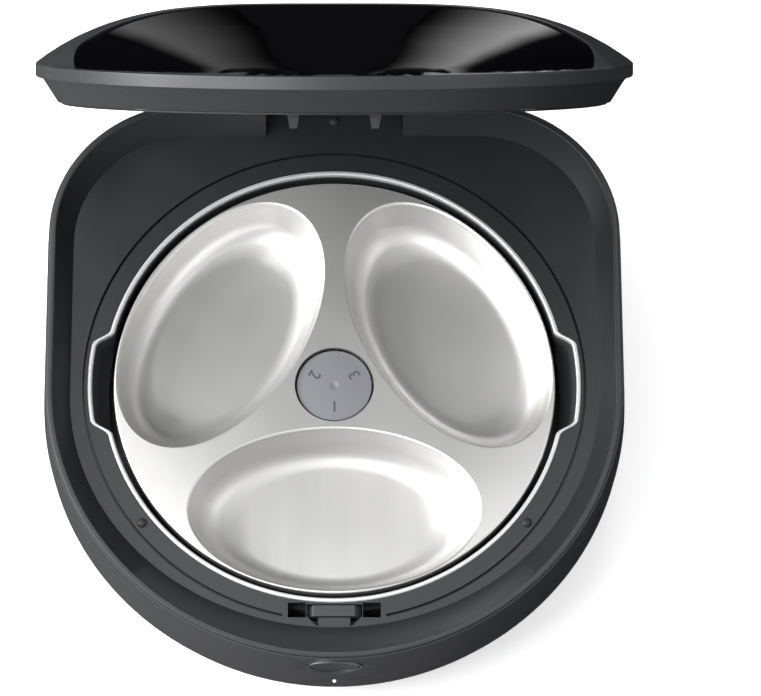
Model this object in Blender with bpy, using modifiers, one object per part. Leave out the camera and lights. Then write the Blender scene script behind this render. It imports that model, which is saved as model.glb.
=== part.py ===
"""Wet food pet feeder: chilled pot, turning three-bowl tray, and a hinged lid with a feeding door.

Metres, +Z up, front towards -Y. The pieces are placed from the tray's axis and the feet stand on
z = 0. The lid is modelled shut and then swung open about its hinge, and the whole is moved so that
the origin lies under the middle of the open feeder.
"""

import math

import bmesh
import bpy
from mathutils import Matrix, Vector

# General clearances
GAP = 0.0003            # between pieces that seat on each other
SLIP = 0.0005           # beside pieces that slide
OVERRUN = 0.004         # how far a cutter passes the face that it opens

# Body outline at the rim: a half circle in front, straight sides, round rear corners
BODY_HALF_WIDTH = 0.1545
BODY_CENTRE_Y = -0.0065
BODY_REAR_Y = 0.1585
BODY_CORNER_RADIUS = 0.077
FRONT_STEPS = 20
CORNER_STEPS = 6
SIDE_STEPS = 1

# From the tray's axis to the middle of the footprint with the lid open, where the frame's origin lies
MIDDLE_Y = 0.0120

# Heights
FOOT_HEIGHT = 0.003
BASE_THICK = 0.0022
DECK_TOP = 0.074
DECK_THICK = 0.0028
RIM_TOP = 0.090
RIM_THICK = 0.0011
PARTING = 0.091

# Outer shell: inset from the rim outline at each share of the wall's height
SHELL_THICK = 0.0025
SHELL_BULGE = -0.0024
SHELL_SHARES = ((0.0, -6.9), (0.045, -5.8), (0.13, -4.5), (0.26, -2.4), (0.40, -0.6), (0.53, 0.65), (0.68, 0.85),
                (0.84, 0.5), (1.0, 0.0))

# Rim and sloping inner wall
RIM_WIDTH = 0.0035
RIM_ROUND = 0.0007
FOOT_INSET = 0.0127
FOOT_FRONT_EXTRA = 0.0098
WALL_THICK = 0.0016

# Groove in the deck, broken at the latch
GROOVE_RADIUS = 0.1346
GROOVE_WIDTH = 0.0013
GROOVE_DEPTH = 0.0012
GROOVE_BREAK = math.radians(11)
GROOVE_STEPS = 30

# Latch recess at the front of the deck
LATCH_HOLE_X = 0.01975
LATCH_HOLE_Y = -0.1289
LATCH_HOLE_SIZE = (0.0095, 0.0082)
BRIDGE_HALF_WIDTH = 0.0108
BRIDGE_HALF_FOOT = 0.0140
BRIDGE_Y = (-0.1322, -0.1262)
BRIDGE_DROP = 0.0030
TAB_HALF_WIDTH = 0.0090
TAB_Y = (-0.1373, -0.1325)

# Rear notch that the lid's arms pass through
NOTCH_HALF_WIDTH = 0.0375
NOTCH_FRONT_Y = 0.1446

# Chilled pot, its bright rim and the two finger recesses
POT_RADIUS = 0.1218
POT_EAR_RADIUS = 0.1298
RING_WIDTH = 0.0028
EAR_FLAT_ANGLE = math.radians(9.6)
EAR_END_ANGLE = math.radians(15.5)
POT_STEPS = 60
POT_FLOOR = 0.0400
POT_WALL = 0.0012
POT_FLANGE = 0.0028
POT_BORE = 0.0080
FOAM_THICK = 0.0050

# Tray: round plate with three oval bowls
TRAY_RADIUS = 0.1188
TRAY_TOP = 0.0710
TRAY_SHEET = 0.0011
TRAY_SKIRT = 0.0050
TRAY_HOLE = 0.0218
BOWL_LONG = 0.0768
BOWL_SHORT = 0.0448
BOWL_CENTRE = 0.0708
BOWL_DEPTH = 0.0240
BOWL_STEPS = 24
BOWL_COUNT = 3
BOWL_SHARES = ((1.0, 0.0), (0.96, 0.08), (0.885, 0.60), (0.82, 0.88), (0.70, 1.0))

# Turntable, its cap, shaft and drive
HUB_RADIUS = 0.0201
CAP_THICK = 0.0014
CAP_DROP = 0.0015
DIMPLE_RADIUS = 0.0024
DISC_RADIUS = 0.1080
DISC_THICK = 0.0024
SPINDLE_RADIUS = 0.0045
GEAR_MODULE = 0.0015
GEAR_TEETH = 40
PINION_TEETH = 12
GEAR_THICK = 0.0060
GEAR_BASE = 0.0250
BACKLASH = 0.00018
PRESSURE = math.radians(20)
MOTOR_BEARING = math.radians(35)
MOTOR_RADIUS = 0.0140
MOTOR_SHAFT = 0.0025

# Cooling stack below the pot
COOL_X = -0.0740
COOL_Y = 0.0200
COLD_HALF = 0.0200
COLD_THICK = 0.0036
PELTIER_THICK = 0.0036
SINK_HALF = 0.0290
SINK_BASE = 0.0030
SINK_FIN = 0.0075
SINK_FIN_COUNT = 9
FAN_HALF = 0.0300
FAN_BORE = 0.0280
FAN_HUB = 0.0110
FAN_CLEAR = 0.0010
FAN_BLADES = 7

# Feet, boards and sockets
FOOT_RADIUS = 0.0080
FOOT_SPOT_SHARE = 0.70
FOOT_FRONT_SHARE = 0.78                    # front feet stand closer together on the round front
FOOT_TAPER = 0.9
BOARD_SIZE = (0.070, 0.040, 0.0016)
BOARD_Y = 0.0980
BOARD_POST = 0.0040
BOARD_POST_SHARES = (0.42, 0.38)           # of the board, from its middle
CHIP_SIZE = (0.012, 0.012, 0.0018)
SOCKET_X = 0.0560
SOCKET_Z = 0.0460
SOCKET_HALF = 0.0055
SOCKET_BORE = 0.0030
SOCKET_LENGTH = 0.0120
BUMPER_RADIUS = 0.00265
BUMPER_SPOTS = ((0.1020, -0.0802), (-0.1020, -0.0802), (0.0, 0.1545))

# Release button, its bezel and the status light
BUTTON_Z = 0.0780
BUTTON_HALF = (0.0135, 0.0065)
BUTTON_THICK = 0.0034
BUTTON_PROUD = 0.0004
BUTTON_TRAVEL = 0.0025
BEZEL_WIDTH = 0.0011
BEZEL_PROUD = 0.0007
LIGHT_Z = 0.0580
LIGHT_HALF = (0.0010, 0.0017)
SLIDER_HALF = 0.0230
SLIDER_THICK = 0.0026

# Hinge behind the rear wall
HINGE_Y = 0.1745
HINGE_Z = 0.0740
LID_OPEN = math.radians(61.3)
PIN_RADIUS = 0.0030
BARREL_RADIUS = 0.0080
ARM_X = (0.0200, 0.0330)
CHEEK_X = (0.0340, 0.0420)

# Lid: band, pillow dome, cone of the glossy door
LID_INSET = 0.0025
BAND_HEIGHT = 0.0065
DOME_HEIGHT = 0.0300
DOME_POWER = 4
DOME_SHEET = 0.0014
DOME_SHARES = (0.98, 0.94, 0.88, 0.78, 0.62, 0.42, 0.18)
LIP_INSET = 0.0060
LIP_FRONT_EXTRA = 0.0050
LIP_THICK = 0.0030
APEX_Y = -0.1580
CONE_SLOPE = 0.2041
CONE_ANGLE = math.radians(57)
CONE_POWER = 3.3
DOOR_DROP = 0.0022
DOOR_SHEET = 0.0020
DOOR_TUCK = 0.0025
DOOR_CENTRE_Y = -0.0750
DOOR_RAYS = 60
DOOR_SHARES = (0.4, 0.72, 0.9, 1.0)

# Lid underside that nests inside the rim
NEST_INSET = 0.0053
NEST_TAPER = 0.0083
NEST_FRONT_EXTRA = 0.0060
NEST_DEPTH = (0.0112, 0.0154)
NEST_WALL = 0.0018
FEED_Y = -0.0830
FEED_HALF = (0.0700, 0.0330)
LUG_Y = -0.1290
LUG_HALF = (0.00335, 0.0017)
LUG_LENGTH = 0.0080
LUG_THICK = 0.0040

# Door's arc, its rack, pinion and rails
DOOR_AXIS_Y = -0.0203
DOOR_AXIS_DROP = 0.2655
RACK_RADIUS = 0.2790
RACK_MODULE = 0.0010
RACK_X = (0.0790, 0.0850)
RACK_BACK = 0.0015
RACK_WEB_SPAN = (-0.2733, -0.04)          # radians from straight up
RUNNER_SPAN = (-0.2333, -0.05)
DOOR_SHAFT = 0.0015
DOOR_MOTOR_RADIUS = 0.00696
RACK_SPAN = (math.radians(-18.8), math.radians(3.4))
DOOR_PINION_TEETH = 12
PINION_BEARING = math.radians(2)
RAIL_X = (0.0905, 0.0955)
RAIL_RADIUS = 0.2784
RAIL_SPAN = (math.radians(-15.5), math.radians(21))
SEAL_WIDTH = 0.0024
SEAL_THICK = 0.0008

COLOURS = {
    "body": ((0.075, 0.076, 0.079), 0.0, 0.42),
    "deck": ((0.045, 0.046, 0.048), 0.0, 0.5),
    "gloss": ((0.006, 0.006, 0.007), 0.0, 0.06),
    "steel": ((0.62, 0.61, 0.60), 1.0, 0.26),
    "bright": ((0.82, 0.82, 0.82), 1.0, 0.15),
    "alloy": ((0.50, 0.51, 0.52), 1.0, 0.45),
    "cap": ((0.235, 0.245, 0.262), 0.0, 0.45),
    "dark": ((0.020, 0.020, 0.022), 0.0, 0.55),
    "rubber": ((0.030, 0.030, 0.031), 0.0, 0.8),
    "foam": ((0.70, 0.70, 0.68), 0.0, 0.9),
    "nylon": ((0.72, 0.71, 0.66), 0.0, 0.5),
    "board": ((0.02, 0.16, 0.07), 0.0, 0.5),
    "ceramic": ((0.80, 0.80, 0.78), 0.0, 0.6),
    "light": ((0.95, 0.95, 0.92), 0.0, 0.3),
}

AXIS_TURNS = {"X": Matrix.Rotation(math.radians(90), 4, "Y"), "Y": Matrix.Rotation(math.radians(-90), 4, "X"),
              "Z": Matrix.Identity(4)}


# Helpers
def material(kind):
    """Principled material of a named finish, made once for each object that asks."""
    colour, metallic, roughness = COLOURS[kind]
    made = bpy.data.materials.new(kind)
    made.use_nodes = True
    shader = made.node_tree.nodes["Principled BSDF"]
    shader.inputs["Base Color"].default_value = (*colour, 1.0)
    shader.inputs["Metallic"].default_value = metallic
    shader.inputs["Roughness"].default_value = roughness
    made.diffuse_color = (*colour, 1.0)
    return made


def collection(name):
    """Collection of this name in the scene, made when it is first asked for."""
    found = bpy.data.collections.get(name)
    if found is None:
        found = bpy.data.collections.new(name)
        bpy.context.scene.collection.children.link(found)
    return found


def add_object(name, mesh, kind):
    """Object for a mesh, with its own material, or among the cutters when kind is None."""
    made = bpy.data.objects.new(name, mesh)
    if kind is None:
        collection("cutters").objects.link(made)
        made.display_type = "WIRE"
        made.hide_render = True
    else:
        collection("feeder").objects.link(made)
        mesh.materials.clear()
        mesh.materials.append(material(kind))
    return made


def from_bmesh(name, bm, kind):
    """Object from a bmesh, with its faces turned outwards."""
    bmesh.ops.recalc_face_normals(bm, faces=bm.faces)
    mesh = bpy.data.meshes.new(name)
    bm.to_mesh(mesh)
    bm.free()
    return add_object(name, mesh, kind)


def loft(name, rings, kind, cyclic=False):
    """Solid through rings of equal count: a closed sleeve if cyclic, otherwise capped at both ends."""
    bm = bmesh.new()
    rows = [[bm.verts.new(point) for point in ring] for ring in rings]
    count = len(rows[0])
    pairs = list(zip(rows, rows[1:] + rows[:1] if cyclic else rows[1:]))
    for low, high in pairs:
        for i in range(count):
            j = (i + 1) % count
            bm.faces.new((low[i], low[j], high[j], high[i]))
    if not cyclic:
        for row in (rows[0], rows[-1]):
            bm.faces.new(row)
    return from_bmesh(name, bm, kind)


def prism(name, outline, low, high, kind, axis="Z"):
    """Solid from a plan outline between two levels along an axis."""
    if axis == "X":
        rings = [[(level, a, b) for a, b in outline] for level in (low, high)]
    elif axis == "Y":
        rings = [[(a, level, b) for a, b in outline] for level in (low, high)]
    else:
        rings = [[(a, b, level) for a, b in outline] for level in (low, high)]
    return loft(name, rings, kind)


def box(name, low, high, kind):
    """Box between two corners, from the cube primitive."""
    bm = bmesh.new()
    size = Vector(high) - Vector(low)
    centre = (Vector(high) + Vector(low)) / 2
    bmesh.ops.create_cube(bm, size=1, matrix=Matrix.Translation(centre) @ Matrix.Diagonal((*size, 1)))
    return from_bmesh(name, bm, kind)


def rod(name, radius, centre, low, high, kind, axis="Z", steps=32, end_radius=None):
    """Cylinder or cone along an axis between two levels, from the cone primitive."""
    bm = bmesh.new()
    middle = Vector(centre)
    middle["XYZ".index(axis)] = (low + high) / 2
    end = radius if end_radius is None else end_radius
    bmesh.ops.create_cone(bm, cap_ends=True, segments=steps, radius1=radius, radius2=end, depth=high - low,
                          matrix=Matrix.Translation(middle) @ AXIS_TURNS[axis])
    return from_bmesh(name, bm, kind)


def turned(name, profile, kind, steps=64, centre=(0, 0, 0)):
    """Solid of revolution about Z from a profile of radius and height, with a Screw modifier."""
    mesh = bpy.data.meshes.new(name)
    closed = min(radius for radius, _ in profile) > 0
    count = len(profile)
    edges = [(i, (i + 1) % count) for i in range(count if closed else count - 1)]
    mesh.from_pydata([(radius, 0, height) for radius, height in profile], edges, [])
    made = add_object(name, mesh, kind)
    made.location = centre
    screw = made.modifiers.new("turn", "SCREW")
    screw.steps = steps
    screw.render_steps = steps
    screw.use_merge_vertices = True
    screw.merge_threshold = GAP / 30
    return made


def combine(target, tools, operation):
    """Boolean modifiers that cut tools from the target or join them to it."""
    for tool in tools if isinstance(tools, (list, tuple)) else [tools]:
        change = target.modifiers.new(operation.lower(), "BOOLEAN")
        change.operation = operation
        change.solver = "EXACT"
        change.object = tool
    return target


def cut(target, *tools):
    """Target with the tools cut out."""
    return combine(target, tools, "DIFFERENCE")


def join(target, *tools):
    """Target with the tools joined on."""
    return combine(target, tools, "UNION")


def pivot(name, location, members):
    """Empty on a joint's axis, which carries the members and the cutters that shape them."""
    empty = bpy.data.objects.new(name, None)
    collection("feeder").objects.link(empty)
    empty.location = location
    for member in members:
        tools = [change.object for change in member.modifiers if change.type == "BOOLEAN"]
        for carried in [member, *tools]:
            if carried.parent is None:
                carried.parent = empty
                carried.matrix_parent_inverse = Matrix.Translation(location).inverted()
    return empty


# Outlines
def body_outline(inset, front_extra=0.0):
    """Plan points of the body's D outline, drawn in by inset, and by front_extra more at the front."""
    half = BODY_HALF_WIDTH - inset
    corner = BODY_CORNER_RADIUS - inset
    corner_x = BODY_HALF_WIDTH - BODY_CORNER_RADIUS
    corner_y = BODY_REAR_Y - BODY_CORNER_RADIUS
    points = []
    for i in range(FRONT_STEPS + 1):
        turn = math.pi * (1 + i / FRONT_STEPS)
        reach = half - front_extra
        points.append((half * math.cos(turn), BODY_CENTRE_Y + reach * math.sin(turn)))
    sides = [BODY_CENTRE_Y + (corner_y - BODY_CENTRE_Y) * i / (SIDE_STEPS + 1) for i in range(1, SIDE_STEPS + 1)]
    points += [(half, y) for y in sides]
    for start, sign in ((0, 1), (math.pi / 2, -1)):
        for i in range(CORNER_STEPS + 1):
            turn = start + math.pi / 2 * i / CORNER_STEPS
            points.append((sign * corner_x + corner * math.cos(turn), corner_y + corner * math.sin(turn)))
    points += [(-half, y) for y in reversed(sides)]
    return points


def body_ring(inset, height, front_extra=0.0):
    """Ring of the D outline at a height, which may follow y."""
    level = height if callable(height) else lambda y: height
    return [(x, y, level(y)) for x, y in body_outline(inset, front_extra)]


def scaled_ring(share, height, shift=0.0):
    """Ring of the lid outline scaled towards the body's centre."""
    return [(x * share, BODY_CENTRE_Y + (y - BODY_CENTRE_Y) * share + shift, height)
            for x, y in body_outline(LID_INSET)]


def star_outline(reference, centre, radius_at):
    """Inner outline with a point on each ray from the centre to a reference point."""
    points = []
    for x, y in reference:
        turn = math.atan2(y - centre[1], x - centre[0])
        radius = radius_at(turn)
        points.append((centre[0] + radius * math.cos(turn), centre[1] + radius * math.sin(turn)))
    return points


def oval_radius(long, short):
    """Polar radius of an oval about its own centre."""
    return lambda turn: long * short / math.hypot(short * math.cos(turn), long * math.sin(turn))


def oval(long, short, centre=(0, 0), steps=40):
    """Points of an oval."""
    turns = [2 * math.pi * i / steps for i in range(steps)]
    return [(centre[0] + long * math.cos(t), centre[1] + short * math.sin(t)) for t in turns]


def pot_outline(spread=0.0):
    """Pot's inner outline with its two finger recesses, drawn out by spread."""
    points = []
    for i in range(POT_STEPS):
        turn = 2 * math.pi * i / POT_STEPS
        side = abs(math.atan2(math.sin(turn), abs(math.cos(turn))))
        ease = min(max((EAR_END_ANGLE - side) / (EAR_END_ANGLE - EAR_FLAT_ANGLE), 0), 1)
        radius = POT_RADIUS + (POT_EAR_RADIUS - POT_RADIUS) * ease * ease * (3 - 2 * ease) + spread
        points.append((radius * math.cos(turn), radius * math.sin(turn)))
    return points


def pot_ring(spread, height):
    """Ring of the pot's outline at a height."""
    return [(x, y, height) for x, y in pot_outline(spread)]


def circle_ring(radius, height, steps=POT_STEPS):
    """Ring of a circle about the tray's axis."""
    turns = [2 * math.pi * i / steps for i in range(steps)]
    return [(radius * math.cos(t), radius * math.sin(t), height) for t in turns]


def arc_sector(inner, outer, start, end, steps, centre=(0, 0)):
    """Plan outline of a ring sector about a centre."""
    turns = [start + (end - start) * i / steps for i in range(steps + 1)]
    far = [(centre[0] + outer * math.cos(t), centre[1] + outer * math.sin(t)) for t in turns]
    near = [(centre[0] + inner * math.cos(t), centre[1] + inner * math.sin(t)) for t in reversed(turns)]
    return far + near


def gear_outline(teeth, module, phase=0.0):
    """Outline of an involute spur gear, with a tooth centred on the phase angle."""
    pitch = teeth * module / 2
    base = pitch * math.cos(PRESSURE)
    tip = pitch + module
    root = pitch - 1.25 * module
    half_pitch = math.pi / 2 / teeth - BACKLASH / 2 / pitch + math.tan(PRESSURE) - PRESSURE
    radii = [max(base, root), pitch, tip]
    points = []
    for tooth in range(teeth):
        middle = phase + 2 * math.pi * tooth / teeth
        flank = []
        for radius in radii:
            roll = math.acos(min(1, base / radius))
            flank.append((radius, half_pitch - (math.tan(roll) - roll)))
        if base > root + module / 5:
            flank.insert(0, (root, flank[0][1] + 0.25 * module / pitch))
        side = [(radius, middle - half) for radius, half in flank]
        side += [(radius, middle + half) for radius, half in reversed(flank)]
        points += [(radius * math.cos(turn), radius * math.sin(turn)) for radius, turn in side]
    return points


# Body
def outer_shell():
    """Outer wall with its bulge, open below and at the rim, cut for the button, light, arms and socket."""
    low, high = FOOT_HEIGHT, RIM_TOP - RIM_THICK - GAP
    levels = [(low + (high - low) * share, SHELL_BULGE * bulge) for share, bulge in SHELL_SHARES]
    outside = [body_ring(inset, height) for height, inset in levels]
    inside = [body_ring(inset + SHELL_THICK, height) for height, inset in reversed(levels)]
    shell = loft("outer_shell", outside + inside, "body", cyclic=True)
    front = BODY_CENTRE_Y - BODY_HALF_WIDTH
    hole = [half + BEZEL_WIDTH + GAP for half in BUTTON_HALF]
    button = prism("cut_button", oval(*hole, (0, BUTTON_Z), 36), front - OVERRUN, front + OVERRUN, None, "Y")
    lamp_hole = [half + GAP for half in LIGHT_HALF]
    lamp = prism("cut_light", oval(*lamp_hole, (0, LIGHT_Z), 16), front - OVERRUN * 2, front + OVERRUN, None, "Y")
    notch = box("cut_shell_notch", (-NOTCH_HALF_WIDTH, BODY_REAR_Y - OVERRUN, DECK_TOP - DECK_THICK - GAP),
                (NOTCH_HALF_WIDTH, BODY_REAR_Y + OVERRUN * 2, RIM_TOP + OVERRUN), None)
    socket = rod("cut_socket", SOCKET_HALF + GAP, (SOCKET_X, 0, SOCKET_Z), BODY_REAR_Y - OVERRUN,
                 BODY_REAR_Y + OVERRUN * 2, None, "Y")
    return cut(shell, button, lamp, notch, socket)


def top_deck():
    """Rim, sloping inner wall and deck plate in one moulding, with its groove, latch recess and notch."""
    under = DECK_TOP - DECK_THICK
    hole = GROOVE_RADIUS - POT_RADIUS + GROOVE_WIDTH
    start = body_outline(FOOT_INSET, FOOT_FRONT_EXTRA)
    inner = star_outline(start, (0, 0), lambda turn: POT_RADIUS - hole)
    rings = [
        body_ring(GAP, RIM_TOP - RIM_THICK),
        body_ring(GAP, RIM_TOP - RIM_ROUND),
        body_ring(RIM_ROUND, RIM_TOP),
        body_ring(RIM_WIDTH, RIM_TOP),
        body_ring(RIM_WIDTH + RIM_ROUND, RIM_TOP - RIM_ROUND),
        body_ring(FOOT_INSET, DECK_TOP, FOOT_FRONT_EXTRA),
        [(x, y, DECK_TOP) for x, y in inner],
        [(x, y, under) for x, y in inner],
        body_ring(FOOT_INSET - WALL_THICK, under, FOOT_FRONT_EXTRA),
        body_ring(SHELL_THICK + SLIP, RIM_TOP - RIM_THICK),
    ]
    deck = loft("top_deck", rings, "deck", cyclic=True)
    pot = prism("cut_pot", pot_outline(RING_WIDTH + GAP), under - OVERRUN, DECK_TOP + OVERRUN, None)
    start, end = GROOVE_BREAK - math.pi / 2, 3 * math.pi / 2 - GROOVE_BREAK
    sector = arc_sector(GROOVE_RADIUS - GROOVE_WIDTH / 2, GROOVE_RADIUS + GROOVE_WIDTH / 2, start, end, GROOVE_STEPS)
    groove = prism("cut_groove", sector, DECK_TOP - GROOVE_DEPTH, DECK_TOP + OVERRUN, None)
    tools = [pot, groove, latch_recess()]
    for side in (-1, 1):
        tools.append(latch_hole(side))
    tools.append(box("cut_notch", (-NOTCH_HALF_WIDTH, NOTCH_FRONT_Y, DECK_TOP - GAP),
                     (NOTCH_HALF_WIDTH, BODY_REAR_Y + OVERRUN, RIM_TOP + OVERRUN), None))
    floor = box("notch_floor", (-NOTCH_HALF_WIDTH + GAP, NOTCH_FRONT_Y - OVERRUN, under + GAP / 2),
                (NOTCH_HALF_WIDTH - GAP, BODY_REAR_Y - SHELL_BULGE, DECK_TOP - GAP / 2), None)
    cut(deck, *tools)
    return join(deck, floor)


def latch_hole(side):
    """Cutter for one of the two square holes that the lid's lugs enter."""
    width, depth = LATCH_HOLE_SIZE
    low = (side * LATCH_HOLE_X - width / 2, LATCH_HOLE_Y - depth / 2, DECK_TOP - DECK_THICK - OVERRUN)
    high = (side * LATCH_HOLE_X + width / 2, LATCH_HOLE_Y + depth / 2, DECK_TOP + OVERRUN)
    return box(f"cut_latch_{'right' if side > 0 else 'left'}", low, high, None)


def latch_recess():
    """Cutter for the well between the holes, where the bridge and the tab stand."""
    half = LATCH_HOLE_X - LATCH_HOLE_SIZE[0] / 2 - GAP
    front = TAB_Y[0] - GAP
    outline = [(-half, BRIDGE_Y[1] + SLIP), (-half, BRIDGE_Y[0]), (-TAB_HALF_WIDTH - SLIP, front),
               (TAB_HALF_WIDTH + SLIP, front), (half, BRIDGE_Y[0]), (half, BRIDGE_Y[1] + SLIP)]
    return prism("cut_recess", outline, DECK_TOP - DECK_THICK - OVERRUN, DECK_TOP + OVERRUN, None)


def latch_bridge():
    """Block between the latch holes, with sloping ends, its foot under the deck."""
    top, under = DECK_TOP - GAP, DECK_TOP - DECK_THICK - GAP
    outline = [(-BRIDGE_HALF_WIDTH, top), (BRIDGE_HALF_WIDTH, top), (BRIDGE_HALF_FOOT, top - BRIDGE_DROP),
               (BRIDGE_HALF_FOOT, under - BRIDGE_DROP), (-BRIDGE_HALF_FOOT, under - BRIDGE_DROP),
               (-BRIDGE_HALF_FOOT, top - BRIDGE_DROP)]
    return prism("latch_bridge", outline, BRIDGE_Y[0], BRIDGE_Y[1], "deck", "Y")


def bottom_cover():
    """Floor of the body, with slots under the fan and posts for the boards."""
    inset = SHELL_BULGE * SHELL_SHARES[0][1] + SHELL_THICK + GAP
    plate = loft("bottom_cover", [body_ring(inset, FOOT_HEIGHT), body_ring(inset, FOOT_HEIGHT + BASE_THICK)], "dark")
    tools = []
    slots = 5
    for i in range(slots):
        y = COOL_Y + FAN_BORE * 1.5 * ((i + 0.5) / slots - 0.5)
        tools.append(box(f"cut_vent_{i}", (COOL_X - FAN_BORE * 0.8, y - SINK_BASE / 2, FOOT_HEIGHT - OVERRUN),
                         (COOL_X + FAN_BORE * 0.8, y + SINK_BASE / 2, FOOT_HEIGHT + OVERRUN), None))
    cut(plate, *tools)
    posts = []
    for i, (sx, sy) in enumerate(((-1, -1), (1, -1), (1, 1), (-1, 1))):
        across, along = (size * share for size, share in zip(BOARD_SIZE, BOARD_POST_SHARES))
        centre = (sx * across, BOARD_Y + sy * along, 0)
        posts.append(rod(f"post_{i}", SPINDLE_RADIUS / 2, centre, FOOT_HEIGHT + GAP,
                         FOOT_HEIGHT + BASE_THICK + BOARD_POST, None, steps=12))
    return join(plate, *posts)


def feet():
    """Four rubber feet under the floor."""
    spread = BODY_HALF_WIDTH * FOOT_SPOT_SHARE
    for name, x, y in (("front_left", -1, -1), ("front_right", 1, -1), ("rear_right", 1, 1), ("rear_left", -1, 1)):
        reach = spread * (FOOT_FRONT_SHARE if y < 0 else 1)
        rod(f"foot_{name}", FOOT_RADIUS * FOOT_TAPER, (x * reach, y * spread, 0), 0, FOOT_HEIGHT - GAP, "rubber",
            steps=24, end_radius=FOOT_RADIUS)


def bumpers():
    """Three rubber domes that the lid lands on."""
    for name, (x, y) in zip(("right", "left", "rear"), BUMPER_SPOTS):
        r, base = BUMPER_RADIUS, DECK_TOP + GAP
        profile = [(0, base + r * 0.55), (r * 0.5, base + r * 0.48), (r * 0.86, base + r * 0.28), (r, base), (0, base)]
        turned(f"bumper_{name}", profile, "rubber", 16, (x, y, 0))


# Pot and tray
def cooling_pot():
    """Alloy pot with ear-shaped finger recesses, a flange under the deck and a bored floor."""
    top = DECK_TOP - DECK_THICK - GAP
    rings = [pot_ring(0, top), pot_ring(0, POT_FLOOR + POT_WALL), circle_ring(POT_BORE, POT_FLOOR + POT_WALL),
             circle_ring(POT_BORE, POT_FLOOR), pot_ring(POT_WALL, POT_FLOOR), pot_ring(POT_WALL, top - POT_WALL),
             pot_ring(POT_WALL + POT_FLANGE, top - POT_WALL), pot_ring(POT_WALL + POT_FLANGE, top)]
    return loft("cooling_pot", rings, "dark", cyclic=True)


def pot_rim():
    """Bright rim round the pot's mouth and its finger recesses, with rounded top."""
    low, high = DECK_TOP - DECK_THICK, DECK_TOP + RIM_ROUND
    rings = [pot_ring(0, low), pot_ring(0, high - RIM_ROUND), pot_ring(RIM_ROUND, high),
             pot_ring(RING_WIDTH - RIM_ROUND, high), pot_ring(RING_WIDTH, high - RIM_ROUND), pot_ring(RING_WIDTH, low)]
    return loft("pot_rim", rings, "bright", cyclic=True)


def insulation_ring():
    """Foam jacket round the pot."""
    near, far = POT_WALL + SLIP, POT_WALL + FOAM_THICK
    low, high = POT_FLOOR, DECK_TOP - DECK_THICK - BRIDGE_DROP - SLIP * 2
    rings = [pot_ring(near, low), pot_ring(near, high), pot_ring(far, high), pot_ring(far, low)]
    return loft("insulation_ring", rings, "foam", cyclic=True)


def bowl_solid(name, turn, spread, kind, overrun=0.0):
    """Solid of one bowl's oval, from its shares of size and depth."""
    rings = []
    shares = BOWL_SHARES if overrun == 0 else (((1.0, -overrun / BOWL_DEPTH),) + BOWL_SHARES)
    for size, depth in shares:
        height = TRAY_TOP - depth * BOWL_DEPTH - (spread if depth > 0.5 else 0)
        spot = oval(BOWL_LONG * size + spread, BOWL_SHORT * size + spread, (0, -BOWL_CENTRE), BOWL_STEPS)
        rings.append([(*(Matrix.Rotation(turn, 2) @ Vector(point)), height) for point in spot])
    return loft(name, rings, kind)


def food_tray():
    """Pressed steel tray: flat plate with a turned-down edge, three oval bowls and a hole for the hub."""
    top, under = TRAY_TOP, TRAY_TOP - TRAY_SHEET
    edge = TRAY_RADIUS
    profile = [(TRAY_HOLE, top), (edge - TRAY_SHEET, top), (edge, top - TRAY_SHEET / 2), (edge, top - TRAY_SKIRT),
               (edge - TRAY_SHEET, top - TRAY_SKIRT), (edge - TRAY_SHEET, under - GAP), (TRAY_HOLE, under)]
    tray = turned("food_tray", profile, "steel", POT_STEPS)
    turns = [2 * math.pi * i / BOWL_COUNT for i in range(BOWL_COUNT)]
    join(tray, *[bowl_solid(f"bowl_{i}", turn, TRAY_SHEET, None) for i, turn in enumerate(turns)])
    return cut(tray, *[bowl_solid(f"cut_bowl_{i}", turn, 0.0, None, OVERRUN) for i, turn in enumerate(turns)])


def turntable():
    """Disc under the bowls with the hub that stands through the tray."""
    top = TRAY_TOP - CAP_DROP - CAP_THICK - GAP
    disc = TRAY_TOP - BOWL_DEPTH - TRAY_SHEET - GAP
    r = HUB_RADIUS
    profile = [(0, top), (r, top), (r, disc), (DISC_RADIUS, disc), (DISC_RADIUS, disc - DISC_THICK),
               (0, disc - DISC_THICK)]
    return turned("turntable", profile, "dark", 48)


def hub_cap():
    """Disc on the hub, with a dimple in its middle."""
    top = TRAY_TOP - CAP_DROP
    dip = CAP_THICK / 2
    profile = [(0, top - dip), (DIMPLE_RADIUS * 0.6, top - dip * 0.8), (DIMPLE_RADIUS, top),
               (HUB_RADIUS - dip / 2, top), (HUB_RADIUS, top - dip / 2), (HUB_RADIUS, top - CAP_THICK),
               (0, top - CAP_THICK)]
    return turned("hub_cap", profile, "cap", 32)


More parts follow.
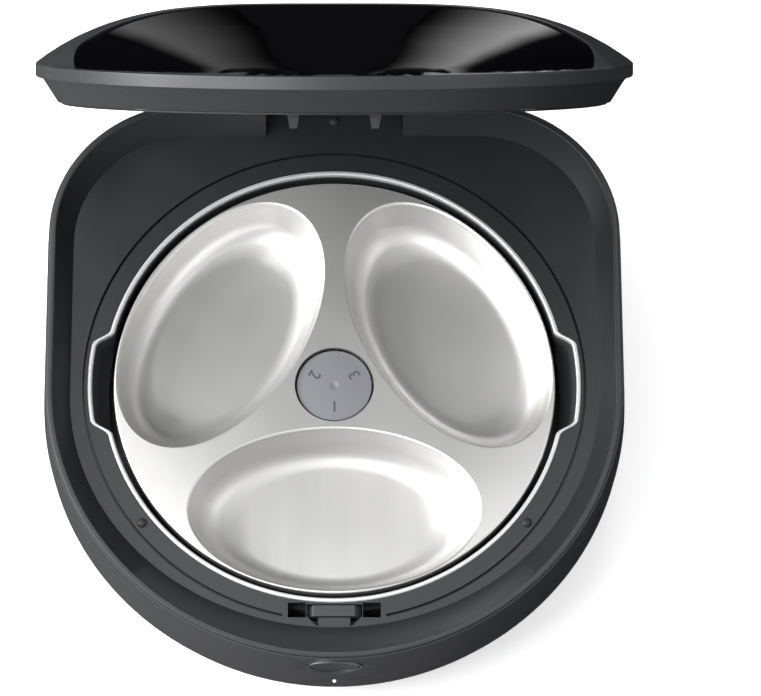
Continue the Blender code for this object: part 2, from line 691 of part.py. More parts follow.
# Drive
def drive():
    """Shaft, bush, gear pair and geared motor below the pot."""
    disc = TRAY_TOP - BOWL_DEPTH - TRAY_SHEET - GAP - DISC_THICK
    shaft = rod("turntable_shaft", SPINDLE_RADIUS, (0, 0, 0), GEAR_BASE - GAP, disc - GAP, "steel")
    bush = [(SPINDLE_RADIUS + GAP, POT_FLOOR + POT_WALL), (POT_BORE - GAP, POT_FLOOR + POT_WALL),
            (POT_BORE - GAP, POT_FLOOR - GAP), (POT_BORE * 1.3, POT_FLOOR - GAP),
            (POT_BORE * 1.3, POT_FLOOR - POT_WALL * 2), (SPINDLE_RADIUS + GAP, POT_FLOOR - POT_WALL * 2)]
    turned("shaft_bush", bush, "nylon", 24)
    top = GEAR_BASE + GEAR_THICK
    gear = prism("drive_gear", gear_outline(GEAR_TEETH, GEAR_MODULE), GEAR_BASE, top, "nylon")
    cut(gear, rod("cut_gear", SPINDLE_RADIUS + GAP / 2, (0, 0, 0), GEAR_BASE - OVERRUN, top + OVERRUN, None))
    reach = (GEAR_TEETH + PINION_TEETH) * GEAR_MODULE / 2
    spot = Vector((reach * math.cos(MOTOR_BEARING), reach * math.sin(MOTOR_BEARING), 0))
    phase = pinion_phase()
    outline = [(x + spot.x, y + spot.y) for x, y in gear_outline(PINION_TEETH, GEAR_MODULE, phase)]
    pinion = prism("motor_pinion", outline, GEAR_BASE, top, "nylon")
    cut(pinion, rod("cut_pinion", MOTOR_SHAFT + GAP, spot, GEAR_BASE - OVERRUN, top + OVERRUN, None, steps=20))
    floor = FOOT_HEIGHT + BASE_THICK + GAP
    motor = rod("gear_motor", MOTOR_RADIUS, spot, floor, GEAR_BASE - GAP * 2, "alloy")
    join(motor, rod("motor_shaft", MOTOR_SHAFT, spot, floor + OVERRUN, top - GAP, None, steps=20))
    return shaft, gear, pinion, spot


def pinion_phase():
    """Turn of the motor pinion that sets one of its gaps on a tooth of the drive gear."""
    pitch = 2 * math.pi / GEAR_TEETH
    nearest = round(MOTOR_BEARING / pitch) * pitch
    off = (MOTOR_BEARING - nearest) * GEAR_TEETH / PINION_TEETH
    return MOTOR_BEARING + math.pi + math.pi / PINION_TEETH + off


# Cooling, power and control
def cooling_stack():
    """Cold block, thermoelectric module, finned sink and fan, stacked under the pot."""
    def pad(name, half, high, thick, kind):
        return box(name, (COOL_X - half, COOL_Y - half, high - thick), (COOL_X + half, COOL_Y + half, high), kind)

    level = POT_FLOOR - GAP
    pad("cold_block", COLD_HALF, level, COLD_THICK, "alloy")
    level -= COLD_THICK + GAP
    pad("peltier_module", COLD_HALF, level, PELTIER_THICK, "ceramic")
    level -= PELTIER_THICK + GAP
    sink = pad("heat_sink", SINK_HALF, level, SINK_BASE + SINK_FIN, "alloy")
    slot = 2 * SINK_HALF / (2 * SINK_FIN_COUNT - 1)
    low = level - SINK_BASE - SINK_FIN
    slots = []
    for i in range(SINK_FIN_COUNT - 1):
        x = COOL_X - SINK_HALF + slot * (2 * i + 1)
        slots.append(box(f"cut_fin_{i}", (x, COOL_Y - SINK_HALF - OVERRUN, low - OVERRUN),
                         (x + slot, COOL_Y + SINK_HALF + OVERRUN, level - SINK_BASE), None))
    cut(sink, *slots)
    floor = FOOT_HEIGHT + BASE_THICK + GAP
    frame = box("fan_frame", (COOL_X - FAN_HALF, COOL_Y - FAN_HALF, floor),
                (COOL_X + FAN_HALF, COOL_Y + FAN_HALF, low - GAP), "dark")
    spot = (COOL_X, COOL_Y, 0)
    bore = rod("cut_fan", FAN_BORE, spot, floor - OVERRUN, low + OVERRUN, None, steps=48)
    cut(frame, bore)
    strut = FAN_CLEAR * 1.6
    arms = [box("fan_arm_x", (COOL_X - FAN_BORE - strut, COOL_Y - strut, floor),
                (COOL_X + FAN_BORE + strut, COOL_Y + strut, floor + strut), None),
            box("fan_arm_y", (COOL_X - strut, COOL_Y - FAN_BORE - strut, floor),
                (COOL_X + strut, COOL_Y + FAN_BORE + strut, floor + strut), None)]
    join(frame, *arms)
    return fan_rotor(floor + strut + GAP, low - GAP - FAN_CLEAR)


def fan_rotor(low, high):
    """Fan hub with twisted blades."""
    rotor = rod("fan_rotor", FAN_HUB, (COOL_X, COOL_Y, 0), low, high, "dark")
    blades = []
    for i in range(FAN_BLADES):
        turn = 2 * math.pi * i / FAN_BLADES
        reach = (FAN_HUB * 0.9, FAN_BORE - FAN_CLEAR)
        lead, thick = math.radians(34), math.radians(5)
        rings = []
        for radius in reach:
            ring = []
            for height, shift in ((low + FAN_CLEAR, 0), (high - FAN_CLEAR, lead)):
                sides = (shift, shift + thick) if shift == 0 else (shift + thick, shift)
                for side in sides:
                    spot = (COOL_X + radius * math.cos(turn + side), COOL_Y + radius * math.sin(turn + side), height)
                    ring.append(spot)
            rings.append(ring)
        blades.append(loft(f"blade_{i}", rings, None))
    return join(rotor, *blades)


def control_board():
    """Circuit board on four posts, with its chips."""
    length, width, thick = BOARD_SIZE
    low = FOOT_HEIGHT + BASE_THICK + BOARD_POST + GAP
    board = box("control_board", (-length / 2, BOARD_Y - width / 2, low),
                (length / 2, BOARD_Y + width / 2, low + thick), "board")
    chips = []
    for i, share in enumerate((-0.28, 0.02, 0.3)):
        x = length * share
        chips.append(box(f"chip_{i}", (x - CHIP_SIZE[0] / 2, BOARD_Y - CHIP_SIZE[1] / 2, low + thick / 2),
                         (x + CHIP_SIZE[0] / 2, BOARD_Y + CHIP_SIZE[1] / 2, low + thick + CHIP_SIZE[2]), None))
    return join(board, *chips)


def dc_socket():
    """Round power inlet in the rear wall, with its blind bore and centre pin."""
    outer = BODY_REAR_Y - SHELL_BULGE / 2
    inner = outer - SOCKET_LENGTH
    socket = rod("dc_socket", SOCKET_HALF, (SOCKET_X, 0, SOCKET_Z), inner, outer, "dark", "Y", steps=28)
    bore = rod("cut_inlet", SOCKET_BORE, (SOCKET_X, 0, SOCKET_Z), inner + SOCKET_BORE, outer + OVERRUN, None, "Y",
               steps=20)
    pin = rod("inlet_pin", SOCKET_BORE / 3, (SOCKET_X, 0, SOCKET_Z), inner + SLIP, outer - SOCKET_BORE, None, "Y",
              steps=12)
    return join(cut(socket, bore), pin)


# Button and latch
def front_face():
    """Y of the outer wall at the button."""
    return BODY_CENTRE_Y - BODY_HALF_WIDTH


def release_button():
    """Dished oval button with a leg down to the latch slider."""
    front = front_face() - BUTTON_PROUD
    dish = BUTTON_THICK * 0.3
    rings = []
    for share, y in ((0.3, front + dish), (0.65, front + dish * 0.72), (0.9, front + dish * 0.15), (0.97, front),
                     (1.0, front + SLIP), (1.0, front + BUTTON_THICK)):
        ring = oval(BUTTON_HALF[0] * share, BUTTON_HALF[1] * share, (0, BUTTON_Z), 36)
        rings.append([(x, y, z) for x, z in ring])
    button = loft("release_button", rings, "body")
    back = front + BUTTON_THICK
    leg = box("button_leg", (-BUTTON_HALF[0] * 0.4, back - SLIP, slider_base()),
              (BUTTON_HALF[0] * 0.4, back + SLIDER_THICK, BUTTON_Z), None)
    return join(button, leg)


def slider_base():
    """Underside of the latch slider."""
    return DECK_TOP - DECK_THICK - BRIDGE_DROP - SLIP * 3 - SLIDER_THICK


def latch_slider():
    """Plate under the deck that the button pushes, with two claws at the lug holes."""
    front = front_face() - BUTTON_PROUD + BUTTON_THICK + SLIDER_THICK + GAP
    low = slider_base()
    rear = BRIDGE_Y[0] - GAP
    slider = box("latch_slider", (-SLIDER_HALF, front, low), (SLIDER_HALF, rear, low + SLIDER_THICK), "nylon")
    claws = []
    for side in (-1, 1):
        x = side * LATCH_HOLE_X
        claws.append(box(f"claw_{'right' if side > 0 else 'left'}", (x - LUG_THICK / 2, rear - SLIDER_THICK / 2, low),
                         (x + LUG_THICK / 2, rear, DECK_TOP - DECK_THICK - SLIP), None))
    return join(slider, *claws)


def button_trim():
    """Bright bezel round the button, the light pipe below it and the fixed tab at the latch."""
    front = front_face()
    ring = oval(BUTTON_HALF[0] + BEZEL_WIDTH, BUTTON_HALF[1] + BEZEL_WIDTH, (0, BUTTON_Z), 36)
    bezel = prism("button_bezel", ring, front - BEZEL_PROUD, front + SHELL_THICK, "bright", "Y")
    hole = oval(BUTTON_HALF[0] + GAP, BUTTON_HALF[1] + GAP, (0, BUTTON_Z), 36)
    cut(bezel, prism("cut_bezel", hole, front - OVERRUN, front + OVERRUN, None, "Y"))
    bulge = SHELL_BULGE * SHELL_SHARES[5][1]
    lamp = oval(*LIGHT_HALF, (0, LIGHT_Z), 16)
    prism("light_pipe", lamp, front + bulge - GAP, front + SHELL_THICK * 1.6, "light", "Y")
    under = DECK_TOP - DECK_THICK - BRIDGE_DROP
    top = DECK_TOP - BRIDGE_DROP / 2
    half, foot = TAB_HALF_WIDTH, TAB_HALF_WIDTH * 0.93
    outline = [(-half, under), (half, under), (foot, top), (-foot, top)]
    prism("latch_tab", outline, TAB_Y[0], TAB_Y[1], "dark", "Y")


# Hinge
def side_profile(points, radius, centre, start, end, steps=10):
    """Side outline of points closed by an arc about a centre, from start to end."""
    turns = [start + (end - start) * i / steps for i in range(steps + 1)]
    return points + [(centre[0] + radius * math.cos(t), centre[1] + radius * math.sin(t)) for t in turns]


def hinge_housing():
    """Knuckle block behind the rear wall, slotted for the lid's arms and bored for the pin."""
    wall = BODY_REAR_Y - SHELL_BULGE + GAP
    low = HINGE_Z - BARREL_RADIUS * 3.6
    profile = side_profile([(wall, HINGE_Z + BARREL_RADIUS * 0.5), (wall, low), (wall + BARREL_RADIUS, low)],
                           BARREL_RADIUS * 1.05, (HINGE_Y, HINGE_Z), math.radians(-35), math.radians(115))
    block = prism("hinge_housing", profile, -CHEEK_X[1], CHEEK_X[1], "body", "X")
    tools = [rod("cut_hinge", PIN_RADIUS + GAP, (0, HINGE_Y, HINGE_Z), -CHEEK_X[1] - OVERRUN, CHEEK_X[1] + OVERRUN,
                 None, "X", steps=24)]
    floor = HINGE_Z - BARREL_RADIUS - SLIP * 2
    for side in (-1, 1):
        low_x, high_x = sorted((side * (ARM_X[0] - SLIP), side * (ARM_X[1] + SLIP)))
        tools.append(box(f"cut_knuckle_{'right' if side > 0 else 'left'}", (low_x, wall - OVERRUN, floor),
                         (high_x, HINGE_Y + BARREL_RADIUS * 2, RIM_TOP), None))
    cut(block, *tools)
    rod("hinge_pin", PIN_RADIUS, (0, HINGE_Y, HINGE_Z), -CHEEK_X[1], CHEEK_X[1], "steel", "X", steps=24)


# Lid, in its shut position
def lid_share(x, y):
    """Share of the lid outline, scaled about the body's centre, that passes through a point."""
    half = BODY_HALF_WIDTH - LID_INSET
    across, along = abs(x), y - BODY_CENTRE_Y
    if along <= 0:
        return math.hypot(across, along) / half
    corner = (BODY_HALF_WIDTH - BODY_CORNER_RADIUS, BODY_REAR_Y - BODY_CORNER_RADIUS - BODY_CENTRE_Y)
    radius = BODY_CORNER_RADIUS - LID_INSET
    share = max(across / half, along / (BODY_REAR_Y - LID_INSET - BODY_CENTRE_Y))
    if across > corner[0] * share and along > corner[1] * share:
        dot = across * corner[0] + along * corner[1]
        square = corner[0] ** 2 + corner[1] ** 2 - radius ** 2
        share = (dot - math.sqrt(max(dot ** 2 - square * (across ** 2 + along ** 2), 0))) / square
    return share


def dome(x, y):
    """Height of the lid's pillow above its parting plane."""
    return BAND_HEIGHT + DOME_HEIGHT * (1 - lid_share(x, y) ** DOME_POWER)


def cone(x, y):
    """Height of the glossy cone above the parting plane, before it drops below the frame."""
    reach = math.hypot(x, y - APEX_Y)
    angle = abs(math.atan2(x, y - APEX_Y))
    return BAND_HEIGHT + CONE_SLOPE * reach * max(0, 1 - (angle / CONE_ANGLE) ** CONE_POWER)


def crest_reach(angle):
    """Distance from the apex at which the cone meets the pillow, on one ray."""
    near, far = BODY_HALF_WIDTH / 4, BODY_HALF_WIDTH * 1.6
    for _ in range(40):
        middle = (near + far) / 2
        x, y = middle * math.sin(angle), APEX_Y + middle * math.cos(angle)
        if cone(x, y) < dome(x, y):
            near = middle
        else:
            far = middle
    return near


def crest_outline():
    """Plan outline of the scoop: its crest from tip to tip, closed in front of the lid."""
    rays = 24
    limit = CONE_ANGLE * 0.965
    points = []
    for i in range(rays + 1):
        angle = limit * (1 - 2 * i / rays)
        reach = crest_reach(angle)
        points.append((reach * math.sin(angle), APEX_Y + reach * math.cos(angle)))
    tip_y = points[0][1]
    wide = BODY_HALF_WIDTH * 1.1
    return [(wide, tip_y), *points, (-wide, tip_y), (-wide, -wide * 1.2), (wide, -wide * 1.2)]


def lid_level(height):
    """World height of a level above the parting plane."""
    return PARTING + height


def lid_frame():
    """Band and pillow-shaped cover in one moulding, with the scoop that the door closes."""
    def pillow(points, drop):
        return [(x, y, lid_level(dome(x, y) - drop)) for x, y in points]

    scaled = [[(x, y) for x, y, _ in scaled_ring(share, 0)] for share in DOME_SHARES]
    lip = body_outline(LIP_INSET, LIP_FRONT_EXTRA)
    rings = [pillow(points, DOME_SHEET) for points in reversed(scaled[2:])]
    rings.append(pillow(lip, DOME_SHEET))
    rings.append([(x, y, lid_level(BAND_HEIGHT - LIP_THICK)) for x, y in lip])
    rings.append(body_ring(NEST_INSET - GAP, lid_level(BAND_HEIGHT - LIP_THICK)))
    rings.append(body_ring(NEST_INSET - GAP, lid_level(0)))
    rings.append(body_ring(LID_INSET + RIM_ROUND / 2, lid_level(0)))
    rings.append(body_ring(LID_INSET, lid_level(RIM_ROUND / 2)))
    rings.append(body_ring(LID_INSET, lid_level(BAND_HEIGHT)))
    rings += [pillow(points, 0) for points in scaled]
    frame = loft("lid_frame", rings, "body")
    scoop = prism("cut_scoop", crest_outline(), lid_level(BAND_HEIGHT), lid_level(BAND_HEIGHT + DOME_HEIGHT * 2), None)
    return cut(frame, scoop)


def nest_level(y):
    """World height of the lid's underside, which rises towards the front."""
    front, rear = NEST_DEPTH
    share = (y - (BODY_CENTRE_Y - BODY_HALF_WIDTH)) / (BODY_REAR_Y - BODY_CENTRE_Y + BODY_HALF_WIDTH)
    return lid_level(-front - (rear - front) * share)


def lid_lower_shell():
    """Lid's underside: nesting wall, sloping floor with the feed opening, two lugs and two hinge arms."""
    def floor(lift):
        return lambda y: nest_level(y) + lift

    base = body_outline(NEST_INSET + NEST_TAPER, NEST_FRONT_EXTRA)
    feed = star_outline(base, (0, FEED_Y), oval_radius(*FEED_HALF))
    rings = [
        body_ring(NEST_INSET, lid_level(BAND_HEIGHT - LIP_THICK - GAP)),
        body_ring(NEST_INSET, lid_level(0)),
        body_ring(NEST_INSET + NEST_TAPER, floor(0), NEST_FRONT_EXTRA),
        [(x, y, nest_level(y)) for x, y in feed],
        [(x, y, nest_level(y) + NEST_WALL) for x, y in feed],
        body_ring(NEST_INSET + NEST_TAPER + NEST_WALL, floor(NEST_WALL), NEST_FRONT_EXTRA),
        body_ring(NEST_INSET + NEST_WALL, lid_level(0)),
        body_ring(NEST_INSET + NEST_WALL, lid_level(BAND_HEIGHT - LIP_THICK - GAP)),
    ]
    shell = loft("lid_lower_shell", rings, "deck", cyclic=True)
    tools = []
    for side in (-1, 1):
        name = "right" if side > 0 else "left"
        tools.append(lug(name, side * LATCH_HOLE_X))
        tools.append(hinge_arm(name, side))
    return join(shell, *tools)


def lug(name, x):
    """Tapered lug that enters a latch hole."""
    high = nest_level(LUG_Y) + NEST_WALL / 2
    low = nest_level(LUG_Y) - LUG_LENGTH
    outline = [(x - LUG_HALF[0], high), (x - LUG_HALF[1], low), (x + LUG_HALF[1], low), (x + LUG_HALF[0], high)]
    return prism(f"lug_{name}", outline, LUG_Y - LUG_THICK / 2, LUG_Y + LUG_THICK / 2, None, "Y")


def hinge_arm(name, side):
    """Arm from the lid's rear wall to the hinge pin."""
    rear = BODY_REAR_Y - NEST_INSET - NEST_TAPER / 2
    low = DECK_TOP + BARREL_RADIUS * 0.5
    points = [(rear - NEST_TAPER / 3, low + SLIP * 2), (rear, low - SLIP * 2),
              (HINGE_Y - BARREL_RADIUS * 1.5, DECK_TOP + SLIP * 3)]
    profile = side_profile(points, BARREL_RADIUS, (HINGE_Y, HINGE_Z), math.radians(200), math.radians(460), 20)
    profile.append((rear, lid_level(-SLIP * 4)))
    arm = prism(f"arm_{name}", profile, *sorted((side * ARM_X[0], side * ARM_X[1])), None, "X")
    return cut(arm, rod(f"cut_arm_{name}", PIN_RADIUS + GAP, (0, HINGE_Y, HINGE_Z), -CHEEK_X[1], CHEEK_X[1], None,
                        "X", steps=24))


def door_edge(angle):
    """Reach of the door's edge from its own centre, along one plan angle."""
    half = BODY_HALF_WIDTH - LIP_INSET - SLIP
    reach = half - LIP_FRONT_EXTRA

    def inside(distance):
        x = distance * math.cos(angle)
        y = DOOR_CENTRE_Y + distance * math.sin(angle)
        if math.hypot(x / half, (y - BODY_CENTRE_Y) / reach) > 1 and y < BODY_CENTRE_Y:
            return False
        back = math.hypot(x, y - APEX_Y)
        share = 1 - DOOR_TUCK / back
        return cone(x * share, APEX_Y + (y - APEX_Y) * share) <= dome(x * share, APEX_Y + (y - APEX_Y) * share)

    near, far = 0, BODY_HALF_WIDTH
    for _ in range(40):
        middle = (near + far) / 2
        near, far = (middle, far) if inside(middle) else (near, middle)
    return near


def door_height(x, y):
    """World height of the door's upper face."""
    return lid_level(min(cone(x, y), dome(x, y)) - DOOR_DROP)


def door_axis():
    """World place of the virtual axis that the door swings about."""
    return DOOR_AXIS_Y, lid_level(-DOOR_AXIS_DROP)


def on_arc(radius, angle):
    """Side view point on the door's arc, its angle taken from straight up towards the rear."""
    y, z = door_axis()
    return y + radius * math.sin(angle), z + radius * math.cos(angle)


def shutter():
    """Glossy conical door, with a rack and two runners moulded under it."""
    angles = [2 * math.pi * i / DOOR_RAYS for i in range(DOOR_RAYS)]
    edge = [(door_edge(angle), angle) for angle in angles]

    def ring(share, drop):
        made = []
        for reach, angle in edge:
            x, y = reach * share * math.cos(angle), DOOR_CENTRE_Y + reach * share * math.sin(angle)
            made.append((x, y, door_height(x, y) - drop))
        return made

    rings = [ring(share, 0) for share in DOOR_SHARES]
    rings += [ring(share, DOOR_SHEET) for share in reversed(DOOR_SHARES)]
    door = loft("shutter", rings, "gloss")
    middle = sum(RACK_X) / 2
    blade = DOOR_SHEET / 2
    join(door, web("rack_web", middle, blade, RACK_RADIUS + RACK_MODULE * 1.5, RACK_WEB_SPAN), rack())
    for side in (-1, 1):
        x = side * sum(RAIL_X) / 2
        join(door, web(f"runner_{'right' if side > 0 else 'left'}", x, blade, RAIL_RADIUS + SLIP, RUNNER_SPAN))
    return door


def web(name, x, half_thick, radius, span):
    """Upright blade from the middle of the door's sheet down to an arc, between two angles."""
    angles = [span[0] + (span[1] - span[0]) * i / 10 for i in range(11)]
    low = [on_arc(radius, angle) for angle in angles]
    high = [(y, door_height(abs(x), y) - DOOR_SHEET / 2) for y, _ in reversed(low)]
    return prism(name, low + high, x - half_thick, x + half_thick, None, "X")


def rack():
    """Arc rack with trapezoid teeth that point to the arc's axis."""
    pitch = math.pi * RACK_MODULE / RACK_RADIUS
    quarter = pitch / 4 - BACKLASH / 2 / RACK_RADIUS
    lean = math.tan(PRESSURE) * RACK_MODULE / RACK_RADIUS
    tip, root = RACK_RADIUS - RACK_MODULE, RACK_RADIUS + RACK_MODULE * 1.25
    points = []
    first = math.ceil((RACK_SPAN[0] - PINION_BEARING) / pitch)
    last = math.floor((RACK_SPAN[1] - PINION_BEARING) / pitch)
    for i in range(first, last):
        middle = PINION_BEARING + (i + 0.5) * pitch
        for radius, half in ((root, -quarter - lean * 1.25), (tip, -quarter + lean), (tip, quarter - lean),
                             (root, quarter + lean * 1.25)):
            points.append(on_arc(radius, middle + half))
    ends = PINION_BEARING + last * pitch, PINION_BEARING + first * pitch
    back = [on_arc(root + RACK_BACK, ends[0] + (ends[1] - ends[0]) * i / 12) for i in range(13)]
    return prism("rack", points + back, *RACK_X, None, "X")


def shutter_drive():
    """Pinion and geared motor that swing the door."""
    radius = RACK_RADIUS - DOOR_PINION_TEETH * RACK_MODULE / 2
    y, z = on_arc(radius, PINION_BEARING)
    outline = [(a + y, b + z) for a, b in gear_outline(DOOR_PINION_TEETH, RACK_MODULE, math.pi / 2 - PINION_BEARING)]
    pinion = prism("shutter_pinion", outline, *RACK_X, "nylon", "X")
    cut(pinion, rod("cut_door_pinion", DOOR_SHAFT + GAP, (0, y, z), RACK_X[0] - OVERRUN, RACK_X[1] + OVERRUN,
                    None, "X", steps=16))
    body = DOOR_MOTOR_RADIUS
    front = RACK_X[0] - SLIP * 4
    motor = rod("shutter_motor", body, (0, y, z), front - body * 3, front, "alloy", "X", steps=28)
    shaft = rod("door_shaft", DOOR_SHAFT, (0, y, z), front - body, RACK_X[1], None, "X", steps=16)
    stand = box("door_stand", (front - body * 2.6, y - body * 0.7, nest_level(y - body) + NEST_WALL + GAP),
                (front - body * 0.5, y + body * 0.7, z), None)
    join(motor, shaft, stand)
    return pinion


def shutter_rails():
    """Curved rails on the lid's floor that carry the door's runners."""
    angles = [RAIL_SPAN[0] + (RAIL_SPAN[1] - RAIL_SPAN[0]) * i / 16 for i in range(17)]
    top = [on_arc(RAIL_RADIUS, angle) for angle in angles]
    low = [(y, nest_level(y) + NEST_WALL + GAP) for y in (top[-1][0], top[0][0])]
    made = []
    for name, side in (("left", -1), ("right", 1)):
        made.append(prism(f"shutter_rail_{name}", top + low, *sorted((side * RAIL_X[0], side * RAIL_X[1])), "nylon",
                          "X"))
    return made


def lid_seals():
    """Rubber ring round the feed opening and one near the lid's lower edge."""
    high, low = -GAP, -GAP - SEAL_THICK

    def spread(points, lift):
        return [(x, y, nest_level(y) + lift) for x, y in points]

    near = oval(FEED_HALF[0] + SLIP, FEED_HALF[1] + SLIP, (0, FEED_Y), 36)
    far = oval(FEED_HALF[0] + SEAL_WIDTH, FEED_HALF[1] + SEAL_WIDTH, (0, FEED_Y), 36)
    feed = loft("feed_seal", [spread(near, low), spread(near, high), spread(far, high), spread(far, low)], "rubber",
                cyclic=True)
    inset = NEST_INSET + NEST_TAPER + NEST_WALL
    near = body_outline(inset + SEAL_WIDTH, NEST_FRONT_EXTRA)
    far = body_outline(inset, NEST_FRONT_EXTRA)
    outer = loft("lid_seal", [spread(near, low), spread(near, high), spread(far, high), spread(far, low)], "rubber",
                 cyclic=True)
    return feed, outer


def build_lid():
    """All lid pieces, carried by an empty on the hinge axis and swung open."""
    fixed = [lid_lower_shell(), lid_frame(), *lid_seals(), *shutter_rails()]
    door = shutter()
    pinion = shutter_drive()
    fixed.append(bpy.data.objects["shutter_motor"])
    hinge = pivot("lid_hinge", (0, HINGE_Y, HINGE_Z), fixed)
    for name, member, spot in (("door_swing", door, (0, *door_axis())),
                               ("door_pinion_axis", pinion,
                                (0, *on_arc(RACK_RADIUS - DOOR_PINION_TEETH * RACK_MODULE / 2, PINION_BEARING)))):
        empty = pivot(name, spot, [member])
        empty.parent = hinge
        empty.matrix_parent_inverse = Matrix.Translation((0, HINGE_Y, HINGE_Z)).inverted()
    hinge.rotation_euler.x = -LID_OPEN


def build_feeder():
    """Whole feeder, in an emptied scene."""
    for old in list(bpy.data.objects):
        bpy.data.objects.remove(old)
    outer_shell()
    top_deck()
    latch_bridge()
    bottom_cover()
    feet()
    bumpers()
    cooling_pot()
    pot_rim()
    insulation_ring()
    shaft, gear, pinion, motor_spot = drive()
    pivot("turntable_axis", (0, 0, 0), [turntable(), hub_cap(), shaft, gear])
    pivot("tray_lift", (0, 0, TRAY_TOP), [food_tray()])
    pivot("motor_axis", motor_spot, [pinion])
    pivot("fan_axis", (COOL_X, COOL_Y, 0), [cooling_stack()])
    control_board()
    dc_socket()
    button_trim()
    pivot("button_slide", (0, front_face(), BUTTON_Z), [release_button()])
    pivot("latch_slide", (0, front_face(), slider_base()), [latch_slider()])
    hinge_housing()
    build_lid()
    middle = pivot("footprint_middle", (0, 0, 0), [])
    for piece in list(bpy.data.objects):
        if piece.parent is None and piece is not middle:
            piece.parent = middle
    middle.location.y = -MIDDLE_Y


if __name__ == "__main__":
    build_feeder()
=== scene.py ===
"""Wet food pet feeder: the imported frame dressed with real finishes, finer skins and studio light."""
import logging
import math
from contextlib import contextmanager
from dataclasses import dataclass
from enum import Enum
from typing import Callable, Iterator

import bpy
from mathutils import Matrix, Vector


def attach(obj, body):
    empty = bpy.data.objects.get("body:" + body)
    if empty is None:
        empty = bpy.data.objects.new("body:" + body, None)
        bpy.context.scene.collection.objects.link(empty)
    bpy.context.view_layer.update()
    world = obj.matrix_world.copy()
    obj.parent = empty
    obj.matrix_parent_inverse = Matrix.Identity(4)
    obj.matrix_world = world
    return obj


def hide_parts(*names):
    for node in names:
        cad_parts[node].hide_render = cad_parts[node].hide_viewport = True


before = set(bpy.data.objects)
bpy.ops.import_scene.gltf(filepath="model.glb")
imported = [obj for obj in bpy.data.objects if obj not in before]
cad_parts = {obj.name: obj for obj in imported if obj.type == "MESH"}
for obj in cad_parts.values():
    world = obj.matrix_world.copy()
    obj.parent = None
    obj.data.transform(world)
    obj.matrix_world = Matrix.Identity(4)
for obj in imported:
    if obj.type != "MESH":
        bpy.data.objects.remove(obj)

Piece = bpy.types.Object
Tree = bpy.types.NodeTree
Socket = bpy.types.NodeSocket
Pair = tuple[float, float]
Point = tuple[float, float, float]

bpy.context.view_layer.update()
NODES: dict[str, Piece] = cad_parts
LOG = logging.getLogger("feeder")

MM = 0.001
MIDDLE_SHIFT = 0.012  # how far the tray's axis lies in front of the frame's middle
TOUCH = 0.01 * MM
WELD = 0.002 * MM
CREASE = math.radians(50)


class Slot(Enum):
    """The record's material slots."""

    BODY = "body"
    DECK = "deck"
    GLOSS = "gloss"
    STEEL = "steel"
    BRIGHT = "bright"
    ALLOY = "alloy"
    CAP = "cap"
    DARK = "dark"
    RUBBER = "rubber"
    FOAM = "foam"
    NYLON = "nylon"
    BOARD = "board"
    CERAMIC = "ceramic"
    LIGHT = "light"


def linear(hex_code: str) -> tuple[float, float, float, float]:
    """Turn an sRGB hex colour into linear light.

    Args:
        hex_code: Six hex digits, with or without a leading hash.

    Returns:
        Linear red, green and blue, with an alpha of one.
    """
    digits = hex_code.lstrip("#")
    shares = (int(digits[i:i + 2], 16) / 255 for i in (0, 2, 4))
    red, green, blue = (s / 12.92 if s <= 0.04045 else ((s + 0.055) / 1.055) ** 2.4 for s in shares)
    return red, green, blue, 1.0


def add_node(tree: Tree, kind: str, settings: dict | None = None,
             links: dict | None = None) -> bpy.types.Node:
    """Add one node with its settings and the links into it.

    Args:
        tree: Node tree that gets the node.
        kind: Blender's type name of the node, less its first word.
        settings: Socket or attribute name to value.
        links: Socket name to the output socket that feeds it.

    Returns:
        The new node.
    """
    node = tree.nodes.new("ShaderNode" + kind)
    for name, value in (settings or {}).items():
        if isinstance(name, int) or name in node.inputs:
            node.inputs[name].default_value = value
        else:
            setattr(node, name, value)
    for name, source in (links or {}).items():
        tree.links.new(source, node.inputs[name])
    return node


def blend(tree: Tree, factor: Socket, first: tuple,
          second: tuple) -> Socket:
    """Mix two colours.

    Args:
        tree: Node tree that gets the node.
        factor: Socket with the second colour's share.
        first: Colour at 0.
        second: Colour at 1.

    Returns:
        The mixed colour's socket.
    """
    node = add_node(tree, "Mix", {"data_type": "RGBA"}, {"Factor": factor})
    ends = [s for s in node.inputs if s.type == "RGBA"]
    ends[0].default_value, ends[1].default_value = first, second
    return next(s for s in node.outputs if s.type == "RGBA")


def new_material(name: str) -> tuple[bpy.types.Material, Tree]:
    """Make a material with an empty node tree.

    Args:
        name: Name of the material.

    Returns:
        The material and its tree.
    """
    made = bpy.data.materials.new(name)
    made.use_nodes = True
    made.node_tree.nodes.clear()
    return made, made.node_tree


